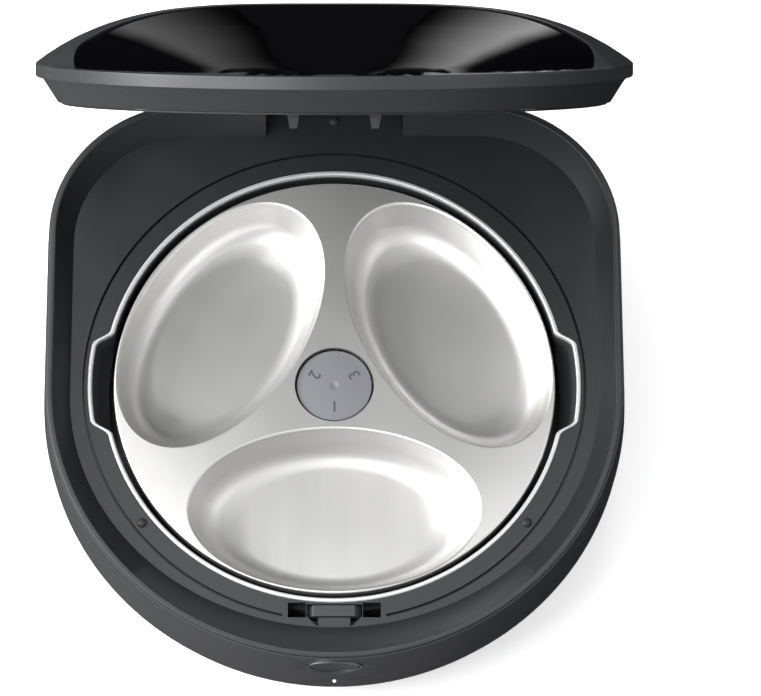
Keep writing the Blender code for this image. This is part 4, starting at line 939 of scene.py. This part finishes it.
@dataclass
class Tray(SubAssembly):
    """Steel tray pressed with three oval bowls."""

    body: str = "tray"
    radius: float = 118.8 * MM
    top: float = 71.0 * MM
    skirt: float = 5.0 * MM
    sheet: float = 1.1 * MM
    hole: float = 21.3 * MM
    bowl_long: float = 76.8 * MM
    bowl_short: float = 44.8 * MM
    bowl_centre: float = 70.8 * MM
    bowl_depth: float = 24.0 * MM
    lip: float = 2.2 * MM
    bowls: int = 3
    oval_steps: int = 112
    bowl_rings: int = 14
    lip_steps: int = 6
    lip_start: float = math.radians(12)
    wall_draft: float = 0.12
    wall_depth: float = 0.55
    floor_depth: float = 0.45
    floor_pull: float = 0.20
    rim_roll: float = 1.2 * MM
    blank_steps: int = 180
    hole_steps: int = 96
    hole_tool: float = 200.0 * MM

    def bowl_share(self, depth: float) -> float:
        """Share of the oval's size at a share of the bowl's depth: steep walls over a round bottom."""
        floor = max(0.0, (depth - self.wall_depth) / self.floor_depth)
        return 1 - self.wall_draft * depth - self.floor_pull * (1 - math.sqrt(max(0.0, 1 - floor ** 2)))

    def bowl_tool(self, turn: float) -> Piece:
        """Solid of one bowl's hollow, flared at its mouth to leave a rolled lip.

        Args:
            turn: Angle of the bowl about the tray's axis.

        Returns:
            The solid, a little higher than the tray.
        """
        bpy.ops.mesh.primitive_circle_add(vertices=self.oval_steps, radius=1, fill_type="NGON")
        tool = bpy.context.object
        spreads = [(1.0, self.lip, self.sheet)]
        for i in range(self.lip_steps + 1):
            slope = self.lip_start + (math.pi / 2 - self.lip_start) * i / self.lip_steps
            spreads.append((1.0, self.lip * (1 - math.sin(slope)), -self.lip * (1 - math.cos(slope))))
        for i in range(1, self.bowl_rings + 1):
            depth = i / self.bowl_rings
            spreads.append((self.bowl_share(depth), 0.0, -self.lip - (self.bowl_depth - self.lip) * depth))
        with editing(tool):
            for _ in spreads[1:]:
                bpy.ops.mesh.extrude_region_move(TRANSFORM_OT_translate={"value": (0, 0, -1)})
            face_outwards()

        def placed(spot: Vector) -> Vector:
            """Put a point of the tube on its level of the hollow.

            Args:
                spot: The point.

            Returns:
                Its new place.
            """
            share, spread, height = spreads[min(round(-spot.z), len(spreads) - 1)]
            angle = math.atan2(spot.y, spot.x)
            return Vector(((self.bowl_long * share + spread) * math.cos(angle),
                           (self.bowl_short * share + spread) * math.sin(angle) - self.bowl_centre,
                           self.top + height))

        shape(tool, placed)
        tool.data.transform(Matrix.Rotation(turn, 4, "Z"))
        return tool

    def blank(self) -> Piece:
        """Round blank with a rolled outer edge."""
        deep = self.bowl_depth + 3 * self.sheet
        made = cylinder("steel_tray", self.radius, deep, (0, 0, self.top - deep / 2), self.blank_steps)
        with editing(made, "EDGE"):
            choose_edges(made, lambda a, b: min(a.z, b.z) > self.top - TOUCH)
            bpy.ops.mesh.bevel(offset=self.rim_roll, segments=5, affect="EDGES")
        return made

    def build(self) -> None:
        """Press the tray out of its blank."""
        made = self.blank()
        hole = cylinder("hub_hole_tool", self.hole, self.hole_tool, (0, 0, self.top), self.hole_steps)
        bowls = [self.bowl_tool(2 * math.pi * i / self.bowls) for i in range(self.bowls)]
        combine(made, "DIFFERENCE", hole, *bowls)
        with editing(made):
            low = self.top - self.bowl_depth - self.sheet / 2
            choose(made, lambda f: len(f.vertices) > 4)
            bpy.ops.mesh.quads_convert_to_tris(quad_method="BEAUTY", ngon_method="BEAUTY")
            choose(made, lambda f: f.center.z < low and abs(f.normal.z) > 0.9)
            bpy.ops.mesh.delete(type="FACE")
            self.trim(made, self.top - self.skirt, lambda r: r > self.radius * 0.98)
            self.trim(made, self.top - 2 * self.sheet, lambda r: r < self.hole * 1.05)
        modify(made, "SOLIDIFY", thickness=self.sheet, offset=-1)
        made.data.transform(Matrix.Translation((0, -MIDDLE_SHIFT, 0)))
        smooth(made, 45)
        modify(made, "WEIGHTED_NORMAL", keep_sharp=True, weight=100)
        self.add(made, Slot.STEEL, "food_tray")

    def trim(self, blank: Piece, height: float, within: Callable[[float], bool]) -> None:
        """Cut an upright wall off below a height.

        Args:
            blank: The tray, in edit mode.
            height: Where the wall ends.
            within: Says of a face's distance from the axis whether it is on that wall.
        """
        choose(blank, lambda f: abs(f.normal.z) < 0.1 and within(f.center.xy.length))
        bpy.ops.mesh.bisect(plane_co=(0, 0, height), plane_no=(0, 0, 1))
        choose(blank, lambda f: abs(f.normal.z) < 0.1 and within(f.center.xy.length) and f.center.z < height)
        bpy.ops.mesh.delete(type="FACE")


@dataclass
class Turntable(SubAssembly):
    """Disc under the tray, its shaft and gear, and the numbered cap on its hub."""

    body: str = "turntable"
    cap_radius: float = 20.1 * MM
    cap_top: float = 69.5 * MM
    cap_thick: float = 1.4 * MM
    dimple: float = 2.4 * MM
    dimple_step: float = 0.3 * MM
    dimple_shares: tuple[float, ...] = (0.75, 0.4)
    cap_round: float = 0.4 * MM
    cap_steps: int = 128
    digit_size: float = 9.0 * MM
    digit_reach: float = 12.6 * MM
    digit_rise: float = 0.12 * MM

    def cap(self) -> None:
        """Round cap with a dimple in its middle."""
        middle = (0, -MIDDLE_SHIFT, self.cap_top - self.cap_thick / 2)
        piece = cylinder("numbered_cap", self.cap_radius, self.cap_thick, middle, self.cap_steps)
        with editing(piece):
            choose(piece, lambda f: f.normal.z > 0.9)
            bpy.ops.mesh.inset(thickness=self.cap_radius - self.dimple - self.dimple_step)
            bpy.ops.mesh.inset(thickness=self.dimple_step)
            for share in self.dimple_shares:
                bpy.ops.mesh.extrude_region_move(TRANSFORM_OT_translate={"value": (0, 0, -self.dimple_step)})
                bpy.ops.transform.resize(value=(share, share, 1), center_override=(0, -MIDDLE_SHIFT, 0))
            choose_edges(piece, lambda a, b: min(a.z, b.z) > self.cap_top - TOUCH
                         and (a.xy - Vector(middle).xy).length > self.cap_radius * 0.99)
            bpy.ops.mesh.bevel(offset=self.cap_round, segments=3, affect="EDGES")
        smooth(piece, 35)
        self.add(piece, Slot.CAP, "hub_cap")

    def digit(self, text: str, turn: float) -> None:
        """One raised number on the cap, its head towards the middle.

        Args:
            text: The number.
            turn: Its angle from the front, about the hub.
        """
        bpy.ops.object.text_add(location=(0, 0, 0))
        piece = newest(f"cap_digit_{text}")
        piece.data.body = text
        piece.data.align_x, piece.data.align_y = "CENTER", "CENTER"
        piece.data.size = self.digit_size
        piece.data.extrude = self.digit_rise
        take_up(piece)
        bpy.ops.object.convert(target="MESH")
        piece = bpy.context.object
        place = Matrix.Translation((0, -MIDDLE_SHIFT, self.cap_top)) @ Matrix.Rotation(turn, 4, "Z")
        piece.data.transform(place @ Matrix.Translation((0, -self.digit_reach, 0)))
        self.add(piece, Slot.CAP)
        piece.data.materials.clear()
        piece.data.materials.append(self.palette.digit)

    def build(self) -> None:
        """Build the cap and its numbers, and dress the rest."""
        self.cap()
        for number, turn in (("1", 0.0), ("2", -120.0), ("3", 120.0)):
            self.digit(number, math.radians(turn))
        self.dress(Slot.NYLON, "turntable", "drive_gear")
        self.dress(Slot.STEEL, "turntable_shaft")


@dataclass
class DriveTrain(SubAssembly):
    """Geared motor, its pinion, the bush and the control board."""

    def build(self) -> None:
        """Dress the drive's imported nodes."""
        self.dress(Slot.NYLON, "motor_pinion", "shaft_bush")
        self.dress(Slot.ALLOY, "gear_motor")
        self.dress(Slot.BOARD, "control_board")


@dataclass
class FrontControls(SubAssembly):
    """Release button with its bezel, the latch slider and the status light."""

    light_scale: Pair = (0.75, 1.5)

    def build(self) -> None:
        """Skin the button and bezel, and dress the rest."""
        self.skin("release_button", Slot.BODY, 40, 0.5, body="button")
        ring = self.skin("button_bezel", Slot.BRIGHT, 60)
        ring.data.materials[0] = self.palette.bezel
        self.dress(Slot.DARK, "latch_slider")
        pipe = merged_copy("status_light", "light_pipe")
        middle = sum((vertex.co for vertex in pipe.data.vertices), Vector()) / len(pipe.data.vertices)
        wide, tall = self.light_scale
        shape(pipe, lambda p: Vector((middle.x + (p.x - middle.x) * wide, p.y,
                                      middle.z + (p.z - middle.z) * tall)))
        smooth(pipe, 40)
        self.add(pipe, Slot.LIGHT, "light_pipe")


@dataclass(frozen=True)
class LidSurface:
    """Heights of the lid's pillow and of the cone that the door slides in, from the parting plane."""

    parting: float = 91.0 * MM
    inset: float = 2.5 * MM
    band: float = 6.5 * MM
    dome_height: float = 30.0 * MM
    crest_y: float = -20.0 * MM
    fall_run: float = 85.0 * MM
    rear_fall: float = 0.10
    dome_power: float = 3.9
    apex_y: float = -158.0 * MM
    cone_slope: float = 0.2041
    cone_angle: float = math.radians(57)
    cone_power: float = 3.3
    strip_lead: float = 1.7 * MM
    front_y: float = -135.0 * MM
    back_y: float = -60.0 * MM
    front_drop: float = 2.3 * MM
    back_drop: float = 0.7 * MM

    def dome(self, x: float, y: float) -> float:
        """Height of the pillow, which falls away behind its crest.

        Args:
            x: Across the shut lid.
            y: Along it.

        Returns:
            The height over the parting plane.
        """
        back = min(max((y - self.crest_y) / self.fall_run, 0.0), 1.0)
        height = self.dome_height * (1 - self.rear_fall * back * back * (3 - 2 * back))
        return self.band + height * (1 - PLAN.share(x, y, self.inset) ** self.dome_power)

    def cone(self, x: float, y: float) -> float:
        """Height of the cone.

        Args:
            x: Across the shut lid.
            y: Along it.

        Returns:
            The height over the parting plane.
        """
        reach = math.hypot(x, y - self.apex_y)
        angle = abs(math.atan2(x, y - self.apex_y))
        fall = max(0.0, 1 - (angle / self.cone_angle) ** self.cone_power)
        return self.band + self.cone_slope * reach * fall

    def behind(self, y: float) -> float:
        """Share of the way from the door's front edge to where its crest settles."""
        return min(max((y - self.front_y) / (self.back_y - self.front_y), 0.0), 1.0)

    def door(self, x: float, y: float) -> float:
        """Height of the door's face, let down deeper at its front edge than at its crest."""
        drop = self.front_drop + (self.back_drop - self.front_drop) * self.behind(y)
        return min(self.dome(x, y), self.cone(x, y)) - drop

    def cover(self, x: float, y: float) -> float:
        """Height of the cover: the pillow, and the flat strip in front of the door."""
        lead = self.strip_lead * (1 - self.behind(y))
        return min(self.dome(x, y), max(self.band, self.cone(x, y) - lead))


@dataclass(frozen=True)
class DoorOpening:
    """Edge of the conical door, where it meets the front lip and the pillow's crest."""

    surface: LidSurface = LidSurface()
    centre_y: float = -75.0 * MM
    tuck: float = 2.5 * MM
    lip_inset: float = 6.5 * MM
    front_extra: float = 5.0 * MM
    crest_slope: float = 0.6
    tip_round: float = 22.0 * MM

    def inside(self, x: float, y: float) -> bool:
        """Say whether a plan point lies within the door's edge.

        Args:
            x: Across the shut lid.
            y: Along the shut lid.

        Returns:
            True inside the front lip and under the pillow's crest.
        """
        half = PLAN.half - self.lip_inset
        front = -half
        if y < PLAN.centre_y:
            front = (math.hypot(x / half, (y - PLAN.centre_y) / (half - self.front_extra)) - 1) * half
        share = 1 - self.tuck / math.hypot(x, y - self.surface.apex_y)
        near = (x * share, self.surface.apex_y + (y - self.surface.apex_y) * share)
        crest = (self.surface.cone(*near) - self.surface.dome(*near)) / self.crest_slope
        blend = max(self.tip_round - abs(front - crest), 0.0) / self.tip_round
        return max(front, crest) + blend * blend * self.tip_round / 4 <= 0

    def at(self, angle: float, reach: float) -> Pair:
        """Plan point at an angle and distance from the door's centre."""
        return reach * math.cos(angle), self.centre_y + reach * math.sin(angle)

    def edge(self, angle: float, within: Callable[[float, float], bool]) -> float:
        """Distance from the door's centre to where a test stops to hold.

        Args:
            angle: Plan angle of the ray.
            within: Says of a plan point whether it is still inside.

        Returns:
            The distance along the ray.
        """
        near, far = 0.0, 2 * PLAN.half
        for _ in range(40):
            middle = (near + far) / 2
            if within(*self.at(angle, middle)):
                near = middle
            else:
                far = middle
        return near


@dataclass
class Lid(SubAssembly):
    """Cover with its underside, seals, door rails and door motor."""

    body: str = "lid"
    opening: DoorOpening = DoorOpening()
    rays: int = 240
    gap: float = 0.35 * MM
    sheet: float = 1.4 * MM
    thin: float = 0.55 * MM
    thin_share: float = 0.15
    corner: float = 0.9 * MM
    wall_end: float = 0.8
    lip_end: float = 0.4
    edge_fall: float = 0.3
    floor_edge: Pair = (78.7 * MM, 0.0115)
    floor_share: float = 0.855
    floor_round: float = 4.0 * MM
    spacing: tuple[float, ...] = (0.0, 0.04, 0.1, 0.2, 0.35, 0.5, 0.65, 0.78, 0.88, 0.95, 0.985, 1.0)

    def lower_shell(self) -> None:
        """Stand in a skin of the lower shell with its bottom edge rounded."""
        piece = merged_copy("lid_lower_shell_skin", "lid_lower_shell")
        PLAN.round_off(piece, OPEN_LID)
        piece.data.transform(OPEN_LID.inverted())
        low, tilt = self.floor_edge

        def outer(spot: Vector) -> bool:
            """Say whether a point is in the bottom edge."""
            return spot.z < low - tilt * spot.y and PLAN.share(spot.x, spot.y, 0.0) > self.floor_share

        with editing(piece, "EDGE"):
            choose_edges(piece, lambda a, b: outer(a) and outer(b))
            bpy.ops.mesh.bevel(offset=self.floor_round, segments=6, affect="EDGES", clamp_overlap=True)
        piece.data.transform(OPEN_LID)
        smooth(piece, 32)
        # The deck's darker finish here is painted shade under the lid's overhang.
        self.add(piece, Slot.DECK, "lid_lower_shell")

    def section(self) -> list[tuple[str, float]]:
        """Stations of the cover's section: its lip, the top, down the wall and back under the sheet."""
        band = self.opening.surface.band
        stations = [("lip", 0.0)] + [("top", share) for share in self.spacing]
        stations += [("wall", band - self.wall_end * self.corner), ("wall", self.corner / 2), ("foot", 0.0)]
        stations += [("inner", 0.0), ("inner", band - self.sheet)]
        return stations + [("under", share) for share in reversed(self.spacing[:-1])]

    def station(self, kind: str, value: float, angle: float, near: float, far: float) -> Vector:
        """Point of the cover, with the lid shut.

        Args:
            kind: Part of the section that the point is in.
            value: Share of the way across for the top and under side, else height over the parting plane.
            angle: Plan angle of the section about the door's centre.
            near: Distance of the opening's edge.
            far: Distance of the outer wall.

        Returns:
            The point.
        """
        surface, inset = self.opening.surface, self.corner * self.lip_end
        start = near + inset
        reach = {"lip": near, "top": start + (far - inset - near) * value, "wall": far,
                 "foot": far - self.corner / 2, "inner": far - self.sheet,
                 "under": start + (far - self.sheet - start) * value}[kind]
        x, y = self.opening.at(angle, reach)
        if kind in ("wall", "foot", "inner"):
            return Vector((x, y, surface.parting + value))
        below = {"lip": self.thin, "top": self.corner * self.edge_fall if value == 1 else 0,
                 "under": self.thin + (self.sheet - self.thin) * min(value / self.thin_share, 1)}[kind]
        return Vector((x, y, surface.parting + surface.cover(x, y) - below))

    def cover(self) -> None:
        """Draw a tube of rings up, lay it along the lid's section and close it."""
        surface, opening, section = self.opening.surface, self.opening, self.section()
        bpy.ops.mesh.primitive_circle_add(vertices=self.rays, radius=1, fill_type="NOTHING")
        piece = newest("lid_cover")
        with editing(piece, "EDGE"):
            for _ in section[1:]:
                bpy.ops.mesh.extrude_region_move(TRANSFORM_OT_translate={"value": (0, 0, 1)})
        edges: dict[float, Pair] = {}

        def placed(spot: Vector) -> Vector:
            """Lay a point of the tube along the cover's section.

            Args:
                spot: The point.

            Returns:
                Its new place.
            """
            angle = math.atan2(spot.y, spot.x)
            key = round(angle, 4)
            if key not in edges:
                edges[key] = (opening.edge(angle, opening.inside) + self.gap,
                              opening.edge(angle, lambda x, y: PLAN.share(x, y, surface.inset) < 1))
            return self.station(*section[round(spot.z)], angle, *edges[key])

        shape(piece, placed)
        with editing(piece, "EDGE"):
            bpy.ops.mesh.select_all(action="DESELECT")
            bpy.ops.mesh.select_non_manifold(extend=False)
            bpy.ops.mesh.bridge_edge_loops()
            face_outwards()
        piece.data.transform(OPEN_LID)
        smooth(piece, 40)
        self.add(piece, Slot.BODY, "lid_frame")

    def build(self) -> None:
        """Build the cover and dress what it carries."""
        self.cover()
        self.lower_shell()
        self.dress(Slot.RUBBER, "feed_seal", "lid_seal")
        self.dress(Slot.STEEL, "shutter_rail_left", "shutter_rail_right")
        self.dress(Slot.ALLOY, "shutter_motor")


@dataclass
class SlidingDoor(SubAssembly):
    """Glossy conical door with its rack and runners."""

    body: str = "door"
    opening: DoorOpening = DoorOpening()
    sheet: float = 2.0 * MM
    rays: int = 192
    rings: int = 22
    edge: float = 0.5 * MM
    plate_margin: float = 0.35 * MM

    def on_face(self, x: float, y: float) -> Vector:
        """Point of the shut door's upper face over a plan point."""
        surface = self.opening.surface
        return Vector((x, y, surface.parting + surface.door(x, y)))

    def lens(self) -> None:
        """Shape a round disc into the door's cone, thicken it and round its edge."""
        bpy.ops.mesh.primitive_circle_add(vertices=self.rays, radius=1, fill_type="NGON")
        piece = newest("gloss_door")
        with editing(piece):
            for _ in range(self.rings):
                bpy.ops.mesh.inset(thickness=1 / (self.rings + 1), use_even_offset=False)
            bpy.ops.mesh.poke()
        reaches = {}

        def placed(spot: Vector) -> Vector:
            """Lay a point of the disc on the door's face.

            Args:
                spot: The point.

            Returns:
                Its new place.
            """
            share, angle = spot.xy.length, math.atan2(spot.y, spot.x)
            key = round(angle, 4)
            if key not in reaches:
                reaches[key] = self.opening.edge(angle, self.opening.inside)
            return self.on_face(*self.opening.at(angle, share * reaches[key]))

        shape(piece, placed)
        modify(piece, "SOLIDIFY", thickness=self.sheet, offset=-1)
        modify(piece, "BEVEL", width=self.edge, segments=3, limit_method="ANGLE", angle_limit=CREASE)
        piece.data.transform(OPEN_LID)
        smooth(piece, 60)
        self.add(piece, Slot.GLOSS, "shutter")

    def runners(self) -> None:
        """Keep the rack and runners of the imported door, without its plate."""
        piece = merged_copy("door_runners", "shutter")
        piece.data.transform(OPEN_LID.inverted())
        under = self.sheet + self.plate_margin
        with editing(piece):
            choose(piece, lambda f: f.center.z > self.on_face(f.center.x, f.center.y).z - under)
            bpy.ops.mesh.delete(type="FACE")
        piece.data.transform(OPEN_LID)
        smooth(piece, 30)
        self.add(piece, Slot.DARK)

    def build(self) -> None:
        """Build the door, and dress its pinion."""
        self.lens()
        self.runners()
        self.dress(Slot.NYLON, "shutter_pinion")


@dataclass(frozen=True)
class Softbox:
    """One soft rectangular light: where it hangs, what it points at, its width and height, and its watts."""

    name: str
    spot: Point
    aim: Point
    size: Pair
    watts: float


@dataclass
class Studio:
    """Camera, floor, sky and soft lights."""

    eye: Point = (0.0, -0.862, 2.211)
    target: Point = (0.0, -0.012, 0.074)
    lens_mm: float = 202.5
    sensor_mm: float = 36.0
    shift: Pair = (0.0607, 0.0451)
    clip: Pair = (0.05, 50.0)
    table_size: float = 8.0
    table_glow: float = 0.35
    sky_band: Pair = (0.02, 0.40)
    front_band: Pair = (-0.10, 0.80)
    front_most: float = 0.95
    bright_side: Point = (-0.72, -0.69, 0.0)
    room_dark: tuple = (0.012, 0.012, 0.013, 1)
    room_pale: tuple = (0.80, 0.80, 0.81, 1)
    softboxes: tuple[Softbox, ...] = (
        Softbox("key_light", (-1.1, -0.5, 1.7), (0, 0, 0.1), (1.2, 1.2), 33.0),
        Softbox("side_panel", (-1.3, 0.1, 0.75), (0, 0.05, 0.2), (0.9, 0.6), 26.0),
        Softbox("fill_light", (1.3, -0.2, 1.5), (0, 0, 0.1), (0.8, 0.8), 4.0),
        Softbox("sky_panel", (-0.2, 1.3, 2.6), (0, 0, 0.07), (1.6, 1.2), 22.0))
    cards: tuple = (("left", -1, 0.32), ("right", 1, 1.0))
    card_strength: float = 1.5
    card_reach: float = 1.2
    card_y: float = 1.2
    card_steps: int = 40
    glow_rise: float = 0.27
    glow_hold: float = 0.30
    glow_fade: float = 0.70
    glow_power: float = 1.6
    bright_edge: tuple = ((0.375, -0.25), (0.362, -0.141), (0.355, -0.091), (0.357, -0.026), (0.378, 0.068),
                          (0.44, 0.218))
    dim_edge: tuple = ((0.15, -0.6), (0.136, -0.468), (0.118, -0.44), (0.106, -0.402), (0.11, -0.328),
                       (0.216, -0.053))

    def stand(self, data: bpy.types.Camera | bpy.types.Light, spot: Point, aim: Point) -> Piece:
        """Put a camera or a light in its place.

        Args:
            data: The camera or light.
            spot: Where it is.
            aim: What it points at.

        Returns:
            Its object.
        """
        made = bpy.data.objects.new(data.name, data)
        bpy.context.scene.collection.objects.link(made)
        made.location = spot
        made.rotation_euler = (Vector(aim) - Vector(spot)).to_track_quat("-Z", "Y").to_euler()
        return made

    def camera(self) -> None:
        """Stand the camera where the photographer's was."""
        data = bpy.data.cameras.new("view_camera")
        data.lens, data.sensor_width = self.lens_mm, self.sensor_mm
        data.shift_x, data.shift_y = self.shift
        data.clip_start, data.clip_end = self.clip
        bpy.context.scene.camera = self.stand(data, self.eye, self.target)

    def floor(self) -> None:
        """Lay a plain white table top, which polished faces don't mirror."""
        bpy.ops.mesh.primitive_plane_add(size=self.table_size, location=(0, 0, 0))
        table = newest("white_table")
        made, tree = new_material("matt white laminate")
        place = add_node(tree, "TexCoord").outputs["Object"]
        noise = add_node(tree, "TexNoise", {"Scale": 3.0}, {"Vector": place})
        rough = add_node(tree, "MapRange", {"To Min": 0.85, "To Max": 0.95},
                         {"Value": noise.outputs[0]})
        shader = add_node(tree, "BsdfPrincipled",
                          {"Base Color": linear("#f4f4f4"), "Specular IOR Level": 0.0,
                           "Emission Color": (1, 1, 1, 1), "Emission Strength": self.table_glow},
                          {"Roughness": rough.outputs["Result"]})
        add_node(tree, "OutputMaterial", links={"Surface": shader.outputs["BSDF"]})
        table.data.materials.append(made)
        table.visible_glossy = False

    def sky(self) -> None:
        """Pale room above the table and a dark one below it, for what gloss and steel reflect."""
        world = bpy.data.worlds.new("studio_room")
        world.use_nodes = True
        bpy.context.scene.world = world
        tree = world.node_tree
        tree.nodes.clear()
        way = add_node(tree, "TexCoord").outputs["Generated"]
        parts = add_node(tree, "SeparateXYZ", links={"Vector": way})
        low, high = self.sky_band
        level = add_node(tree, "MapRange", {"From Min": low, "From Max": high},
                         {"Value": parts.outputs["Z"]})
        facing = add_node(tree, "VectorMath", {"operation": "DOT_PRODUCT", 1: self.bright_side},
                          {0: way})
        low, high = self.front_band
        front = add_node(tree, "MapRange",
                         {"From Min": low, "From Max": high, "To Max": self.front_most},
                         {"Value": facing.outputs["Value"]})
        most = add_node(tree, "Math", {"operation": "MAXIMUM"},
                        {0: level.outputs["Result"], 1: front.outputs["Result"]})
        back = add_node(tree, "Background", {"Strength": 1.0},
                        {"Color": blend(tree, most.outputs["Value"], self.room_dark, self.room_pale)})
        add_node(tree, "OutputWorld", links={"Surface": back.outputs["Background"]})

    def hang(self, box: Softbox) -> None:
        """Hang one soft light.

        Args:
            box: The light.
        """
        data = bpy.data.lights.new(box.name, "AREA")
        data.shape, data.energy = "RECTANGLE", box.watts
        data.size, data.size_y = box.size
        self.stand(data, box.spot, box.aim)

    def card(self, name: str, side: int, strength: float) -> None:
        """Stand a glowing card behind the lid that only polished faces see, brightest along its outer edge.

        Args:
            name: Name of the card.
            side: -1 for the left card, 1 for the right one.
            strength: Light of its bright edge.
        """
        rows = len(self.bright_edge) - 1
        bpy.ops.mesh.primitive_grid_add(x_subdivisions=self.card_steps, y_subdivisions=rows, size=2)
        made = newest(name)
        glow = made.data.attributes.new("glow", "FLOAT", "POINT")
        for i, vertex in enumerate(made.data.vertices):
            across, row = (vertex.co.x + 1) / 2, round((vertex.co.y + 1) / 2 * rows)
            shares = across / self.glow_rise, (across - self.glow_hold) / self.glow_fade
            rise, fall = (min(max(share, 0.0), 1.0) for share in shares)
            glow.data[i].value = rise ** 2 * (3 - 2 * rise) * (1 - fall) ** self.glow_power
            bright, dim = Vector(self.bright_edge[row]), Vector(self.dim_edge[row])
            spot = bright.lerp(dim, across * self.card_reach)
            vertex.co = (side * spot.x, self.card_y, spot.y)
        paper, tree = new_material(f"{name}_paper")
        read = add_node(tree, "Attribute", {"attribute_name": "glow"})
        level = add_node(tree, "Math", {"operation": "MULTIPLY", 1: strength},
                         {0: read.outputs["Fac"]})
        light = add_node(tree, "Emission", {"Color": (1, 1, 1, 1)},
                         {"Strength": level.outputs["Value"]})
        add_node(tree, "OutputMaterial", links={"Surface": light.outputs["Emission"]})
        made.data.materials.append(paper)
        made.visible_camera = made.visible_diffuse = made.visible_shadow = False

    def build(self) -> None:
        """Set up the whole studio."""
        self.camera()
        self.floor()
        self.sky()
        for box in self.softboxes:
            self.hang(box)
        for end, side, share in self.cards:
            self.card(f"streak_card_{end}", side, self.card_strength * share)
        look = bpy.context.scene.view_settings
        look.view_transform, look.look, look.exposure = "Standard", "None", 0.0


def main() -> None:
    """Build the studio and every sub-assembly, and note the sizes."""
    logging.basicConfig(level=logging.INFO, format="%(message)s")
    Studio().build()
    palette = Palette()
    for part in (BaseHousing(palette), Deck(palette), ChilledPot(palette), Tray(palette), Turntable(palette),
                 DriveTrain(palette), FrontControls(palette), Lid(palette), SlidingDoor(palette)):
        LOG.info("== %s", type(part).__name__)
        part.build()
    select_none()


if __name__ == "__main__":
    main()
